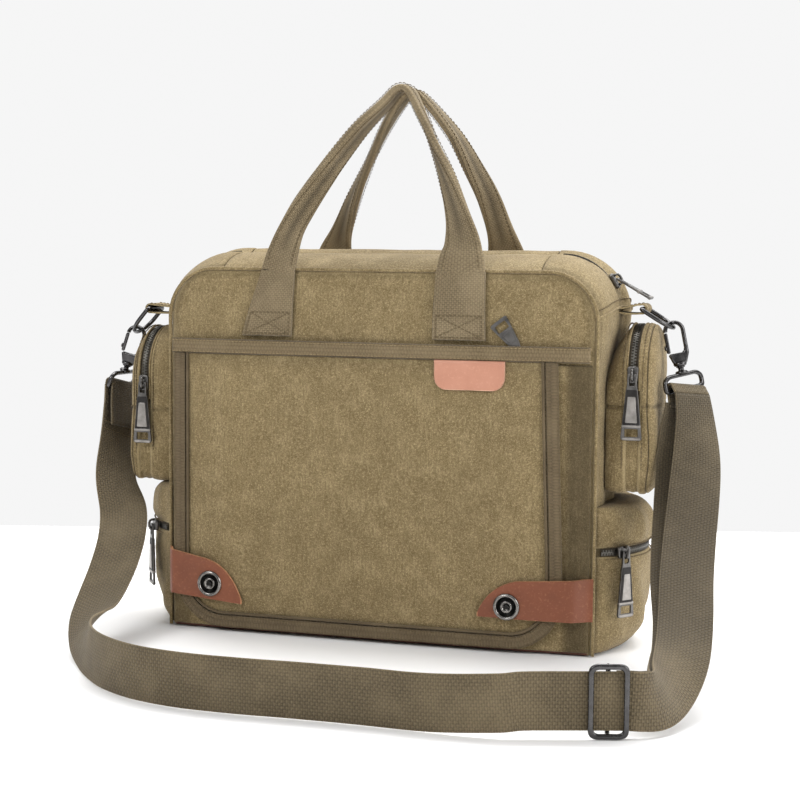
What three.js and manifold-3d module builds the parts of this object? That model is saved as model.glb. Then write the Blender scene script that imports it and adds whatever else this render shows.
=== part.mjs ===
// Canvas messenger bag, built the way it is sewn and assembled.
// Units are millimetres. +X is the wearer's right of the front face, -Y is the front, +Z is up.
// The origin is the middle of the bottom face.
import * as THREE from 'three';
import { mergeVertices } from 'three/addons/utils/BufferGeometryUtils.js';
import Module from 'manifold-3d';

const wasm = await Module();
wasm.setup();

// ---- driving dimensions -------------------------------------------------------------------
const HALF_WIDTH = 172;          // middle to side gusset
const HALF_DEPTH = 57;           // middle to front face
const SEAM_Z = 288;              // height of the front and back top seams
const RIDGE_RISE = 12;           // the zip ridge stands this far above the seams
const CORNER_R = 38;             // rounded top corners of the front and back panels
const CANVAS = 2;                // thickness of a canvas wall with its lining sewn in
const GAP = 0.3;                 // air left between two separate pieces
const WEB = 38;                  // width of the shoulder strap webbing
const WEB_T = 2;                 // its thickness
const BAND_BOTTOM = 221;
const BAND_TOP = 233;

const INNER_DEPTH = HALF_DEPTH - CANVAS - GAP;
const CORNER_X = HALF_WIDTH - CORNER_R;
const CORNER_Z = SEAM_Z - CORNER_R;
const MOUTH_HALF = CORNER_X - 6;  // the straight part of the mouth, which folds open

// the zip ridge rounds each top corner on its own circle
const RIDGE_R = 43;
const RIDGE_Z = SEAM_Z + RIDGE_RISE - RIDGE_R;

// Layers on the front face, each as [back face, front face] along Y.
const POCKET_LAYER = [-57.3, -58.8];
const ZIP_LAYER = [-57.3, -59.6];
const FLAP_LAYER = [-59.2, -61.9];
const BAND_LAYER = [-60, -62];
const STUD_LAYER = [-62.2, -63];
const TAG_LAYER = [-62.2, -64];
const TAB_LAYER = [-63.3, -65.4];
const CAP_LAYER = [-65.7, -68];
const PATCH_LAYER = [-57.3, -59.4];

const bag = new THREE.Group();

// ---- materials ----------------------------------------------------------------------------
const canvas = () => new THREE.MeshStandardMaterial({ color: 0x7d6f4c, roughness: 0.95 });
const webbing = () => new THREE.MeshStandardMaterial({ color: 0x62563c, roughness: 0.9 });
const leather = () => new THREE.MeshStandardMaterial({ color: 0x8d4a33, roughness: 0.55 });
const tagLeather = () => new THREE.MeshStandardMaterial({ color: 0xb57a5e, roughness: 0.6 });
const metal = () => new THREE.MeshStandardMaterial({ color: 0x5a5856, roughness: 0.35, metalness: 1 });
const tape = () => new THREE.MeshStandardMaterial({ color: 0x2b2620, roughness: 0.8 });
const board = () => new THREE.MeshStandardMaterial({ color: 0x3a3a38, roughness: 0.7 });

function add(name, geometry, material) {
  const mesh = new THREE.Mesh(geometry, material);
  mesh.name = name;
  bag.add(mesh);
  return mesh;
}

// ---- geometry helpers ---------------------------------------------------------------------
const vec = (x, y, z) => new THREE.Vector3(x, y, z);
const rad = THREE.MathUtils.degToRad;

function meshFrom(points, triangles) {
  const geometry = new THREE.BufferGeometry();
  const flat = points.flatMap((p) => [p.x, p.y, p.z]);
  geometry.setAttribute('position', new THREE.Float32BufferAttribute(flat, 3));
  geometry.setIndex(volumeOf(points, triangles) < 0 ? triangles.map(([a, b, c]) => [a, c, b]).flat()
    : triangles.flat());
  return geometry;
}

function volumeOf(points, triangles) {
  const cross = new THREE.Vector3();
  return triangles.reduce((sum, [a, b, c]) =>
    sum + points[a].dot(cross.crossVectors(points[b], points[c])), 0) / 6;
}

// A sheet of even thickness: outer[i][j] and inner[i][j] are its two faces.
function sheet(outer, inner) {
  const rows = outer.length;
  const cols = outer[0].length;
  const points = [...outer.flat(), ...inner.flat()];
  const top = (i, j) => i * cols + j;
  const low = (i, j) => rows * cols + i * cols + j;
  const triangles = [];
  const quad = (a, b, c, d) => triangles.push([a, b, c], [a, c, d]);
  for (let i = 0; i < rows - 1; i += 1) {
    for (let j = 0; j < cols - 1; j += 1) {
      quad(top(i, j), top(i + 1, j), top(i + 1, j + 1), top(i, j + 1));
      quad(low(i, j), low(i, j + 1), low(i + 1, j + 1), low(i + 1, j));
    }
    quad(top(i, 0), low(i, 0), low(i + 1, 0), top(i + 1, 0));
    quad(top(i, cols - 1), top(i + 1, cols - 1), low(i + 1, cols - 1), low(i, cols - 1));
  }
  for (let j = 0; j < cols - 1; j += 1) {
    quad(top(0, j), top(0, j + 1), low(0, j + 1), low(0, j));
    quad(top(rows - 1, j), low(rows - 1, j), low(rows - 1, j + 1), top(rows - 1, j + 1));
  }
  return meshFrom(points, triangles);
}

// A solid through rings of equal point count, closed by a fan at each end.
function loft(rings) {
  const count = rings[0].length;
  const points = rings.flat();
  const triangles = [];
  for (let i = 0; i < rings.length - 1; i += 1) {
    for (let j = 0; j < count; j += 1) {
      const next = (j + 1) % count;
      const [a, b, c, d] = [i * count + j, i * count + next, (i + 1) * count + next, (i + 1) * count + j];
      triangles.push([a, b, c], [a, c, d]);
    }
  }
  for (const [ring, start, turn] of [[rings[0], 0, 1], [rings.at(-1), (rings.length - 1) * count, -1]]) {
    const centre = points.length;
    points.push(ring.reduce((sum, p) => sum.add(p), vec(0, 0, 0)).divideScalar(count));
    for (let j = 0; j < count; j += 1) {
      const [a, b] = [start + j, start + ((j + 1) % count)];
      triangles.push(turn > 0 ? [centre, b, a] : [centre, a, b]);
    }
  }
  return meshFrom(points, triangles);
}

// A flat plate on the front or back face: shape is drawn in X and Z, faces are Y values.
function frontPlate(shape, [back, front]) {
  const geometry = new THREE.ExtrudeGeometry(shape, {
    depth: Math.abs(front - back), bevelEnabled: false, curveSegments: 8 });
  const basis = new THREE.Matrix4().makeBasis(vec(1, 0, 0), vec(0, 0, 1), vec(0, -1, 0));
  geometry.applyMatrix4(basis);
  geometry.translate(0, Math.max(back, front), 0);
  return geometry;
}

// A metal or leather blank drawn in local u and v, centred on its own mid plane w = 0.
function blank(shape, thickness, bevel = 0) {
  const geometry = new THREE.ExtrudeGeometry(shape, {
    depth: thickness - 2 * bevel, curveSegments: 5, bevelEnabled: bevel > 0,
    bevelThickness: bevel, bevelSize: bevel, bevelOffset: -bevel, bevelSegments: 1 });
  geometry.translate(0, 0, bevel - thickness / 2);
  return geometry;
}

function box(low, high) {
  const geometry = new THREE.BoxGeometry(high[0] - low[0], high[1] - low[1], high[2] - low[2]);
  geometry.translate((low[0] + high[0]) / 2, (low[1] + high[1]) / 2, (low[2] + high[2]) / 2);
  return geometry;
}

function roundedRect(x0, y0, x1, y1, r, path = new THREE.Shape()) {
  path.moveTo(x0 + r, y0);
  path.lineTo(x1 - r, y0);
  path.absarc(x1 - r, y0 + r, r, -Math.PI / 2, 0, false);
  path.lineTo(x1, y1 - r);
  path.absarc(x1 - r, y1 - r, r, 0, Math.PI / 2, false);
  path.lineTo(x0 + r, y1);
  path.absarc(x0 + r, y1 - r, r, Math.PI / 2, Math.PI, false);
  path.lineTo(x0, y0 + r);
  path.absarc(x0 + r, y0 + r, r, Math.PI, 1.5 * Math.PI, false);
  return path;
}

function polygon(points) {
  return new THREE.Shape(points.map(([x, y]) => new THREE.Vector2(x, y)));
}

// ---- joining and cutting ------------------------------------------------------------------
function toSolid(geometry) {
  const bare = geometry.clone();
  bare.deleteAttribute('normal');
  bare.deleteAttribute('uv');
  const merged = mergeVertices(bare, 1e-4);
  return new wasm.Manifold(new wasm.Mesh({
    numProp: 3,
    vertProperties: new Float32Array(merged.attributes.position.array),
    triVerts: new Uint32Array(merged.index.array),
  }));
}

function fromSolid(solid) {
  const mesh = solid.getMesh();
  const geometry = new THREE.BufferGeometry();
  geometry.setAttribute('position', new THREE.Float32BufferAttribute(mesh.vertProperties, 3));
  geometry.setIndex([...mesh.triVerts]);
  return geometry;
}

const join = (...parts) => fromSolid(parts.map(toSolid).reduce((a, b) => a.add(b)));
const cut = (part, tool) => fromSolid(toSolid(part).subtract(toSolid(tool)));

// Place a locally drawn piece: u across, v up, w outwards.
function place(geometry, origin, v, w) {
  const up = v.clone().normalize();
  const out = w.clone().addScaledVector(up, -w.dot(up)).normalize();
  const across = new THREE.Vector3().crossVectors(up, out);
  geometry.applyMatrix4(new THREE.Matrix4().makeBasis(across, up, out));
  geometry.translate(origin.x, origin.y, origin.z);
  return geometry;
}

// ---- shell --------------------------------------------------------------------------------
function panelOutline() {
  const shape = new THREE.Shape();
  shape.moveTo(-HALF_WIDTH, 0);
  shape.lineTo(HALF_WIDTH, 0);
  shape.lineTo(HALF_WIDTH, CORNER_Z);
  shape.absarc(CORNER_X, CORNER_Z, CORNER_R, 0, Math.PI / 2, false);
  shape.lineTo(-CORNER_X, SEAM_Z);
  shape.absarc(-CORNER_X, CORNER_Z, CORNER_R, Math.PI / 2, Math.PI, false);
  return shape;
}

// Crown of a strip that spans the depth of the bag: 0 at the seams, 1 on the zip line.
const crown = (y) => 1 - (y / INNER_DEPTH) ** 2;

// The seam line and the zip ridge, going up one side and over its corner.
// Each station is [seam x, seam z, ridge x, ridge z, normal x, normal z].
function sideStations(side) {
  const stations = [];
  const bulgeStart = 200;
  for (const z of [CANVAS + GAP, 60, 130, bulgeStart, 225]) {
    const k = Math.max(0, (z - bulgeStart) / (CORNER_Z - bulgeStart));
    const lean = RIDGE_R - CORNER_R;
    stations.push([side * HALF_WIDTH, z, side * (HALF_WIDTH + lean * k), z + (RIDGE_Z - CORNER_Z) * k, side, 0]);
  }
  for (let step = 0; step <= 6; step += 1) {
    const a = (step / 6) * Math.PI / 2;
    const [c, s] = [Math.cos(a), Math.sin(a)];
    stations.push([side * (CORNER_X + CORNER_R * c), CORNER_Z + CORNER_R * s,
      side * (CORNER_X + RIDGE_R * c), RIDGE_Z + RIDGE_R * s, side * c, s]);
  }
  stations.push([side * (MOUTH_HALF + GAP), SEAM_Z, side * (MOUTH_HALF + GAP), SEAM_Z + RIDGE_RISE, 0, 1]);
  return stations;
}

function crownedRow(station, ys, rise) {
  const [sx, sz, rx, rz, nx, nz] = station;
  return ys.map((y) => {
    const k = crown(y);
    return vec(sx + (rx - sx) * k + nx * rise, y, sz + (rz - sz) * k + nz * rise);
  });
}

function gusset(side) {
  const ys = [-1, -0.7, -0.35, 0, 0.35, 0.7, 1].map((k) => k * INNER_DEPTH);
  const stations = sideStations(side);
  return sheet(stations.map((s) => crownedRow(s, ys, 0)), stations.map((s) => crownedRow(s, ys, -CANVAS)));
}

// The two halves of the mouth: a strip from a top seam to the zip, and the zip half under its edge.
function mouthSheet(side, yFrom, yTo, top, thickness) {
  const xs = [-MOUTH_HALF, MOUTH_HALF];
  const ys = [0, 0.25, 0.5, 0.75, 1].map((k) => side * (yFrom + (yTo - yFrom) * k));
  const row = (x, drop) => ys.map((y) => vec(x, y, SEAM_Z + RIDGE_RISE * crown(y) + top - drop));
  return sheet(xs.map((x) => row(x, 0)), xs.map((x) => row(x, thickness)));
}

add('front_panel', frontPlate(panelOutline(), [-HALF_DEPTH + CANVAS, -HALF_DEPTH]), canvas());
add('back_panel', frontPlate(panelOutline(), [HALF_DEPTH, HALF_DEPTH - CANVAS]), canvas());
add('gusset_left', gusset(-1), canvas());
add('gusset_right', gusset(1), canvas());
add('bottom_panel', box([-HALF_WIDTH, -INNER_DEPTH, 0], [HALF_WIDTH, INNER_DEPTH, CANVAS]), canvas());
add('base_board', box([-HALF_WIDTH + 4, -INNER_DEPTH + 2, CANVAS + GAP],
  [HALF_WIDTH - 4, INNER_DEPTH - 2, 5]), board());
add('top_strip_front', mouthSheet(-1, INNER_DEPTH - GAP, 3.2, 0, CANVAS), canvas());
add('top_strip_rear', mouthSheet(1, INNER_DEPTH - GAP, 3.2, 0, CANVAS), canvas());

// ---- main zip -----------------------------------------------------------------------------
add('main_zip_front', mouthSheet(-1, 14, 0.4, -CANVAS - GAP, 1.4), tape());
add('main_zip_rear', mouthSheet(1, 14, 0.4, -CANVAS - GAP, 1.4), tape());

// ---- zip sliders and pulls ----------------------------------------------------------------
const PULL_LENGTH = 49;          // from the swing axis to the free end
const PULL_AXIS = 4.5;           // height of the swing axis above the zip
const SLIDER_BASE = 3;

// A slider: a plate on the zip with a bridge that the pull hangs from. The bridge runs along v.
function slider(width, length) {
  const plate = blank(roundedRect(-width / 2, -length / 2, width / 2, length / 2, 2.5), SLIDER_BASE);
  plate.translate(0, 0, SLIDER_BASE / 2);
  const arch = roundedRect(-4, SLIDER_BASE - 0.5, 4, 7.4, 0.4);
  arch.holes.push(roundedRect(-2.7, SLIDER_BASE, 2.7, 6, 0.3, new THREE.Path()));
  const bridge = blank(arch, 3);
  bridge.applyMatrix4(new THREE.Matrix4().makeBasis(vec(0, 1, 0), vec(0, 0, 1), vec(1, 0, 0)));
  return join(plate, bridge);
}

// A pull: link end round the slider's bridge, then a plate that widens to a slotted end.
function pull(length) {
  const shape = new THREE.Shape();
  shape.moveTo(-3.6, 1);
  shape.lineTo(-3.9, -9);
  shape.lineTo(-4.4, -11);
  shape.lineTo(-8, -length + 1.5);
  shape.lineTo(-6.8, -length);
  shape.lineTo(6.8, -length);
  shape.lineTo(8, -length + 1.5);
  shape.lineTo(4.4, -11);
  shape.lineTo(3.9, -9);
  shape.lineTo(3.6, 1);
  shape.holes.push(roundedRect(-2.2, -8, 2.2, -0.9, 0.6, new THREE.Path()));
  shape.holes.push(roundedRect(-5, -length + 2.8, 5, -length + 8.8, 0.8, new THREE.Path()));
  return blank(shape, 1.8);
}

// Slider and pull at a point on a zip. lift turns the pull outwards from the zip's face.
function zipHardware(name, at, up, out, size, lift = 0, length = PULL_LENGTH) {
  add(`${name}_slider`, place(slider(...size), at, up, out), metal());
  const swing = up.clone().applyAxisAngle(new THREE.Vector3().crossVectors(up, out).normalize(), -lift);
  const face = out.clone().applyAxisAngle(new THREE.Vector3().crossVectors(up, out).normalize(), -lift);
  add(`${name}_pull`, place(pull(length), at.clone().addScaledVector(out, PULL_AXIS), swing, face), metal());
}

// The main slider waits on the right corner, and its pull rests over the ring tab.
const MAIN_SLIDER_ANGLE = rad(31);
const MAIN_PULL_LIFT = rad(30);
const MAIN_PULL_LENGTH = 30;
const ridgeOut = vec(Math.cos(MAIN_SLIDER_ANGLE), 0, Math.sin(MAIN_SLIDER_ANGLE));
const ridgeUp = vec(-Math.sin(MAIN_SLIDER_ANGLE), 0, Math.cos(MAIN_SLIDER_ANGLE));
const ridgePoint = vec(CORNER_X, 0, RIDGE_Z).addScaledVector(ridgeOut, RIDGE_R + 2.3);
zipHardware('main_zip', ridgePoint, ridgeUp, ridgeOut, [9.5, 12.5], MAIN_PULL_LIFT, MAIN_PULL_LENGTH);

// ---- front band, hidden zip, pocket panel -------------------------------------------------
const BAND_HALF = HALF_WIDTH - 4;
const HIDDEN_PULL = { x: 113, z: 231.5, tilt: rad(38), length: 25 };
// The band is sewn down along its lower edge, over the tape of the hidden zip.
add('front_band', join(
  frontPlate(roundedRect(-BAND_HALF, BAND_BOTTOM, BAND_HALF, BAND_TOP, 0.5), BAND_LAYER),
  frontPlate(roundedRect(-150, BAND_BOTTOM, 150, 226, 0.5), [ZIP_LAYER[0], BAND_LAYER[0] - 0.5])), webbing());
add('front_zip_slider', frontPlate(roundedRect(HIDDEN_PULL.x - 6, 226.3, HIDDEN_PULL.x + 6, 228.1, 0.6),
  ZIP_LAYER), metal());

function hiddenPull() {
  const end = HIDDEN_PULL.length;
  const shape = polygon([[-2, -2.4], [2, -2.4], [4.2, 4], [7.6, end - 1], [6.6, end], [-6.6, end], [-7.6, end - 1],
    [-4.2, 4]]);
  shape.holes.push(roundedRect(-4.6, end - 8.4, 4.6, end - 2.6, 0.8, new THREE.Path()));
  const geometry = blank(shape, 1.6);
  const up = vec(-Math.sin(HIDDEN_PULL.tilt), 0, Math.cos(HIDDEN_PULL.tilt));
  return place(geometry, vec(HIDDEN_PULL.x, -58.6, HIDDEN_PULL.z), up, vec(0, -1, 0));
}
add('front_zip_pull', hiddenPull(), metal());
add('front_pocket', frontPlate(roundedRect(-HALF_WIDTH + 3, 3.2, HALF_WIDTH - 3, 216, 4), POCKET_LAYER), canvas());

// ---- flap ---------------------------------------------------------------------------------
const FLAP = { left: -159, right: 151, lean: 6, bottom: 3.4, top: BAND_BOTTOM - 0.5, corner: 42, bind: 12.5 };

function flapPath(inset, path) {
  const r = FLAP.corner - inset;
  const [left, right, bottom] = [FLAP.left + inset, FLAP.right - inset, FLAP.bottom + inset];
  path.moveTo(left, FLAP.top);
  path.absarc(left + r, bottom + r, r, Math.PI, 1.5 * Math.PI, false);
  path.absarc(right - r, bottom + r, r, 1.5 * Math.PI, 2 * Math.PI, false);
  path.lineTo(right - FLAP.lean, FLAP.top);
  return path;
}

function bindingShape() {
  const outer = flapPath(0, new THREE.Shape()).getPoints(8);
  const inner = flapPath(FLAP.bind, new THREE.Path()).getPoints(8).reverse();
  return new THREE.Shape([...outer, ...inner]);
}

add('flap_panel', frontPlate(flapPath(FLAP.bind + GAP, new THREE.Shape()), FLAP_LAYER), canvas());
add('flap_binding', frontPlate(bindingShape(), FLAP_LAYER), webbing());

function tagShape() {
  const [left, right, low, r] = [50, 105, 199, 10];
  const shape = new THREE.Shape();
  shape.moveTo(left, FLAP.top);
  shape.absarc(left + r, low + r, r, Math.PI, 1.5 * Math.PI, false);
  shape.absarc(right - r, low + r, r, 1.5 * Math.PI, 2 * Math.PI, false);
  shape.lineTo(right, FLAP.top);
  return shape;
}
add('leather_tag', frontPlate(tagShape(), TAG_LAYER), tagLeather());

// ---- leather tabs with snaps --------------------------------------------------------------
// root is where the tab is sewn into the side seam, tip is its point, snap is the snap's centre
const TABS = {
  left: { root: -172.5, shoulder: -137, tip: -105, top: [65, 59], bottom: [29, 24], snap: [-132.5, 39] },
  right: { root: 172.5, shoulder: 117, tip: 85, top: [60, 57], bottom: [27, 28], snap: [109, 37] },
};

function tabShape(tab) {
  const shape = new THREE.Shape();
  shape.moveTo(tab.root, tab.bottom[0]);
  shape.lineTo(tab.tip, tab.bottom[1]);
  shape.quadraticCurveTo((tab.shoulder + 3 * tab.tip) / 4, tab.top[1] - 5, tab.shoulder, tab.top[1]);
  shape.lineTo(tab.root, tab.top[0]);
  return shape;
}

function disc(centre, radius, [back, front]) {
  const thickness = Math.abs(front - back);
  const geometry = new THREE.CylinderGeometry(radius, radius, thickness, 20);
  geometry.translate(centre[0], (back + front) / 2, centre[1]);
  return geometry;
}

for (const [side, tab] of Object.entries(TABS)) {
  add(`leather_tab_${side}`, frontPlate(tabShape(tab), TAB_LAYER), leather());
  add(`snap_cap_${side}`, disc(tab.snap, 10, CAP_LAYER), metal());
  add(`snap_stud_${side}`, disc(tab.snap, 6, STUD_LAYER), metal());
}

// ---- carry handles ------------------------------------------------------------------------
// Each station is [x, distance from the middle plane, z, half width, half thickness, turn],
// where turn 0 lays the width along X and turn 1 lays it along Y.
const FRONT_HANDLE = [
  [-79, 59.4, 288.6, 14, 1.2, 0], [-76, 57.5, 300, 12.5, 2, 0.05], [-70, 52.5, 320, 10, 3.2, 0.3],
  [-59.5, 45, 342, 10, 3.6, 0.5], [-43, 36, 369, 10, 3.8, 0.65], [-23.5, 26.5, 397, 10, 3.8, 0.8],
  [-6, 17.5, 417, 10, 3.6, 0.95], [4, 12.2, 428.5, 9.8, 3.4, 1], [13, 12.4, 426.5, 9.6, 3.4, 1],
  [24, 18.5, 408, 9.6, 3.6, 0.9], [39, 29, 380, 9.6, 3.6, 0.7], [51, 38, 356, 9.6, 3.6, 0.5],
  [61, 47, 331, 10.5, 3, 0.3], [66.5, 53, 311, 14, 2.2, 0.1], [67.5, 57.4, 298, 17.5, 1.6, 0],
  [67.5, 59.4, 288.6, 19.5, 1.2, 0],
];
const REAR_HANDLE = [
  [-74, 59.4, 288.6, 19, 1.2, 0], [-72.5, 57.3, 299, 15.5, 1.6, 0.05], [-65, 51, 318, 10.5, 3, 0.3],
  [-54, 43, 341, 9.6, 3.6, 0.5], [-41, 35, 364, 9.6, 3.6, 0.65], [-20, 23, 399, 9.6, 3.6, 0.85],
  [-2, 13.5, 422, 9.6, 3.4, 1], [8, 12.2, 427.5, 9.6, 3.4, 1], [18, 13, 422, 9.6, 3.4, 1],
  [39, 24, 395, 9.6, 3.6, 0.8], [53, 33, 368, 9.6, 3.8, 0.6], [63, 41, 346, 9.6, 3.8, 0.45],
  [71, 50, 319, 11, 3, 0.2], [74.5, 57.3, 299, 16, 1.6, 0], [75.5, 59.4, 288.6, 19, 1.2, 0],
];

function handle(stations, side) {
  const centres = stations.map(([x, y, z]) => vec(x, side * y, z));
  return loft(stations.map(([, , , half, thick, turn], i) => {
    const last = stations.length - 1;
    const ahead = centres[Math.min(i + 1, last)].clone().sub(centres[Math.max(i - 1, 0)]).normalize();
    const along = i === 0 || i === last ? vec(0, 0, Math.sign(ahead.z)) : ahead;
    const facing = i < stations.length / 2 ? 1 : -1;
    const wide = vec((1 - turn) * facing, turn * -side, 0);
    wide.addScaledVector(along, -wide.dot(along)).normalize();
    const thin = new THREE.Vector3().crossVectors(along, wide);
    return Array.from({ length: 10 }, (_, k) => {
      const a = (k / 10) * 2 * Math.PI;
      const squared = (v) => Math.sign(v) * Math.abs(v) ** 0.7;
      return centres[i].clone().addScaledVector(wide, half * squared(Math.cos(a)))
        .addScaledVector(thin, thick * squared(Math.sin(a)));
    });
  }));
}
add('handle_front', handle(FRONT_HANDLE, -1), webbing());
add('handle_rear', handle(REAR_HANDLE, 1), webbing());

// Box-stitched ends of the handles. Each is [bottom left, bottom right, top left, top right] in X.
const PATCH_Z = [236, 284.5];
const PATCHES = { left: [-108, -66, -93, -65], right: [47, 89, 48, 87] };
for (const [side, [b0, b1, t0, t1]] of Object.entries(PATCHES)) {
  const shape = polygon([[b0, PATCH_Z[0]], [b1, PATCH_Z[0]], [t1, PATCH_Z[1]], [t0, PATCH_Z[1]]]);
  add(`handle_patch_front_${side}`, frontPlate(shape, PATCH_LAYER), webbing());
  const rear = polygon([[b0, PATCH_Z[0]], [b1, PATCH_Z[0]], [t1 + 8, PATCH_Z[1]], [t0 + 2, PATCH_Z[1]]]);
  add(`handle_patch_rear_${side}`, frontPlate(rear, PATCH_LAYER.map((y) => -y)), webbing());
}

// ---- upper side pockets -------------------------------------------------------------------
// The left pocket hangs lower and bulges further than the right one.
// steps: [distance out from the middle, inset of the outline, how far the arch has sagged]
const UPPER_HALF = 36;
const ARCH_Z = 213;
const UPPER = {
  right: { side: 1, bottom: 122, zip: [191.3, 199.7], zipSag: [0, 0], zipLow: 203, sliderX: 195.5, sliderZ: 212,
    steps: [[177.4, 0.5, 0], [190.5, 0, 0], [191, 2.4, 0], [200, 2.4, 0], [200.5, 0, 0], [205, 0.2, 0],
      [208.5, 1.6, 0], [211, 4.5, 0]] },
  left: { side: -1, bottom: 114, zip: [200.3, 208.7], zipSag: [8.6, 11], zipLow: 184, sliderX: 204.5, sliderZ: 194,
    steps: [[177.4, 0.5, 4], [199.5, 0, 8.6], [200, 2.4, 8.6], [209, 2.4, 11], [209.5, 0, 11], [213, 0.2, 14],
      [216, 1.6, 16], [218.5, 4.5, 18]] },
};

function archRing({ side, bottom }, [x, inset, sag]) {
  const r = UPPER_HALF - inset;
  const low = bottom + inset;
  const points = [vec(side * x, -r, low + 6), vec(side * x, -r + 6, low), vec(side * x, r - 6, low),
    vec(side * x, r, low + 6)];
  for (let step = 0; step <= 10; step += 1) {
    const a = (step / 10) * Math.PI;
    points.push(vec(side * x, r * Math.cos(a), ARCH_Z - sag + r * Math.sin(a)));
  }
  return points;
}

// The zip lies in the groove of the arch, from front to rear.
function upperZip({ side, zip, zipSag, zipLow }) {
  const path = [[-1, 0, zipLow], [-1, 0, zipLow + 6]];
  for (let step = 0; step <= 10; step += 1) {
    const a = Math.PI - (step / 10) * Math.PI;
    path.push([Math.cos(a), Math.sin(a), null]);
  }
  path.push([1, 0, zipLow + 6], [1, 0, zipLow]);
  const face = (r) => path.map(([c, s, z]) => zip.map((x, i) =>
    vec(side * x, r * c, (z ?? ARCH_Z - zipSag[i]) + r * s)));
  return sheet(face(UPPER_HALF - 0.6), face(UPPER_HALF - 2.1));
}

for (const [name, pocket] of Object.entries(UPPER)) {
  add(`upper_pocket_${name}`, loft(pocket.steps.map((step) => archRing(pocket, step))), canvas());
  add(`upper_zip_${name}`, upperZip(pocket), tape());
  const at = vec(pocket.side * pocket.sliderX, -UPPER_HALF + 0.3, pocket.sliderZ);
  zipHardware(`upper_zip_${name}`, at, vec(0, 0, 1), vec(0, -1, 0), [9, 12.5]);
}

// ---- lower side pockets -------------------------------------------------------------------
const LOWER = { half: 54, zipZ: 79, zipHalf: 2.8, start: HALF_WIDTH + GAP };
// [height, how far the pocket bulges]
const BULGES = [[2.5, 17], [5, 20], [14, 27], [32, 31.5], [58, 33], [75.4, 32.5], [75.9, 29.5], [82.1, 29.5],
  [82.6, 32], [96, 33], [107, 30.5], [111.5, 26]];

function bulgeArc(bulge, inset = 0) {
  const half = LOWER.half - inset;
  const radius = (half ** 2 + bulge ** 2) / (2 * bulge);
  const sweep = Math.asin(Math.min(1, half / radius));
  return { centre: LOWER.start + bulge - radius, radius, sweep: bulge > half ? Math.PI - sweep : sweep };
}

function lowerRing(side, z, bulge) {
  const arc = bulgeArc(bulge);
  const points = [];
  for (let step = 0; step <= 12; step += 1) {
    const a = (step / 6 - 1) * arc.sweep;
    points.push(vec(side * (arc.centre + arc.radius * Math.cos(a)), arc.radius * Math.sin(a), z));
  }
  return points;
}

function lowerZip(side) {
  const arc = bulgeArc(29.5);
  const face = (r) => [LOWER.zipZ - LOWER.zipHalf, LOWER.zipZ + LOWER.zipHalf].map((z) =>
    Array.from({ length: 13 }, (_, step) => {
      const a = (step / 6 - 1) * (arc.sweep - 0.06);
      return vec(side * (arc.centre + r * Math.cos(a)), r * Math.sin(a), z);
    }));
  return sheet(face(arc.radius + 1.8), face(arc.radius + GAP));
}

const LOWER_SLIDER_ANGLE = rad(-38);
for (const [name, side] of [['left', -1], ['right', 1]]) {
  add(`lower_pocket_${name}`, loft(BULGES.map(([z, bulge]) => lowerRing(side, z, bulge))), canvas());
  add(`lower_zip_${name}`, lowerZip(side), tape());
  const arc = bulgeArc(29.5);
  const out = vec(side * Math.cos(LOWER_SLIDER_ANGLE), Math.sin(LOWER_SLIDER_ANGLE), 0);
  const at = vec(side * arc.centre, 0, LOWER.zipZ).addScaledVector(out, arc.radius + 3.4);
  zipHardware(`lower_zip_${name}`, at, vec(0, 0, 1), out, [12.5, 9]);
}

// ---- strap hardware -----------------------------------------------------------------------
const RING_Y = -5;               // the hardware hangs a little in front of the middle
const TAB_HALF = 11.4;
const WIRE = 3.4;
const HOOK_EYE = 28.2;             // from the hook's base to the wire that it hangs on
const BAR_DROP = 19;             // from the hook's base down to the strap ring's bar
// bar: where the D-ring turns in its tab, fall: how steeply the D-ring hangs,
// hang: the hook's direction from its base up to the D-ring, web: the strap's width direction
const SIDES = {
  left: { side: -1, bar: [209, 254], fall: rad(50), hang: [15.1, 0, 44.5], web: [0.05, 1, 0] },
  right: { side: 1, bar: [198, 260.5], fall: rad(32), hang: [-9.7, 0, 46.6], web: [0.55, 0.835, 0] },
};

function ringTab({ side, bar }) {
  const [x, z] = bar;
  const root = HALF_WIDTH + 7.2;
  const shape = new THREE.Shape();
  shape.moveTo(root, z - 5.5);
  shape.lineTo(x, z - 4);
  shape.absarc(x, z, 4, -Math.PI / 2, Math.PI / 2, false);
  shape.lineTo(root, z + 1.5);
  const hole = new THREE.Path();
  hole.absarc(x, z, 2.6, 0, 2 * Math.PI, true);
  shape.holes.push(hole);
  const geometry = frontPlate(shape, [RING_Y + TAB_HALF, RING_Y - TAB_HALF]);
  if (side > 0) return geometry;
  return mirrorX(geometry);
}

function mirrorX(geometry) {
  geometry.scale(-1, 1, 1);
  const index = geometry.index ?? null;
  if (index) {
    geometry.setIndex(index.array.map ? flipped([...index.array]) : flipped(index.array));
    return geometry;
  }
  const flat = geometry.attributes.position.array;
  for (let i = 0; i < flat.length; i += 9) {
    for (let k = 0; k < 3; k += 1) [flat[i + 3 + k], flat[i + 6 + k]] = [flat[i + 6 + k], flat[i + 3 + k]];
  }
  return geometry;
}

function flipped(list) {
  for (let i = 0; i < list.length; i += 3) [list[i + 1], list[i + 2]] = [list[i + 2], list[i + 1]];
  return list;
}

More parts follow.
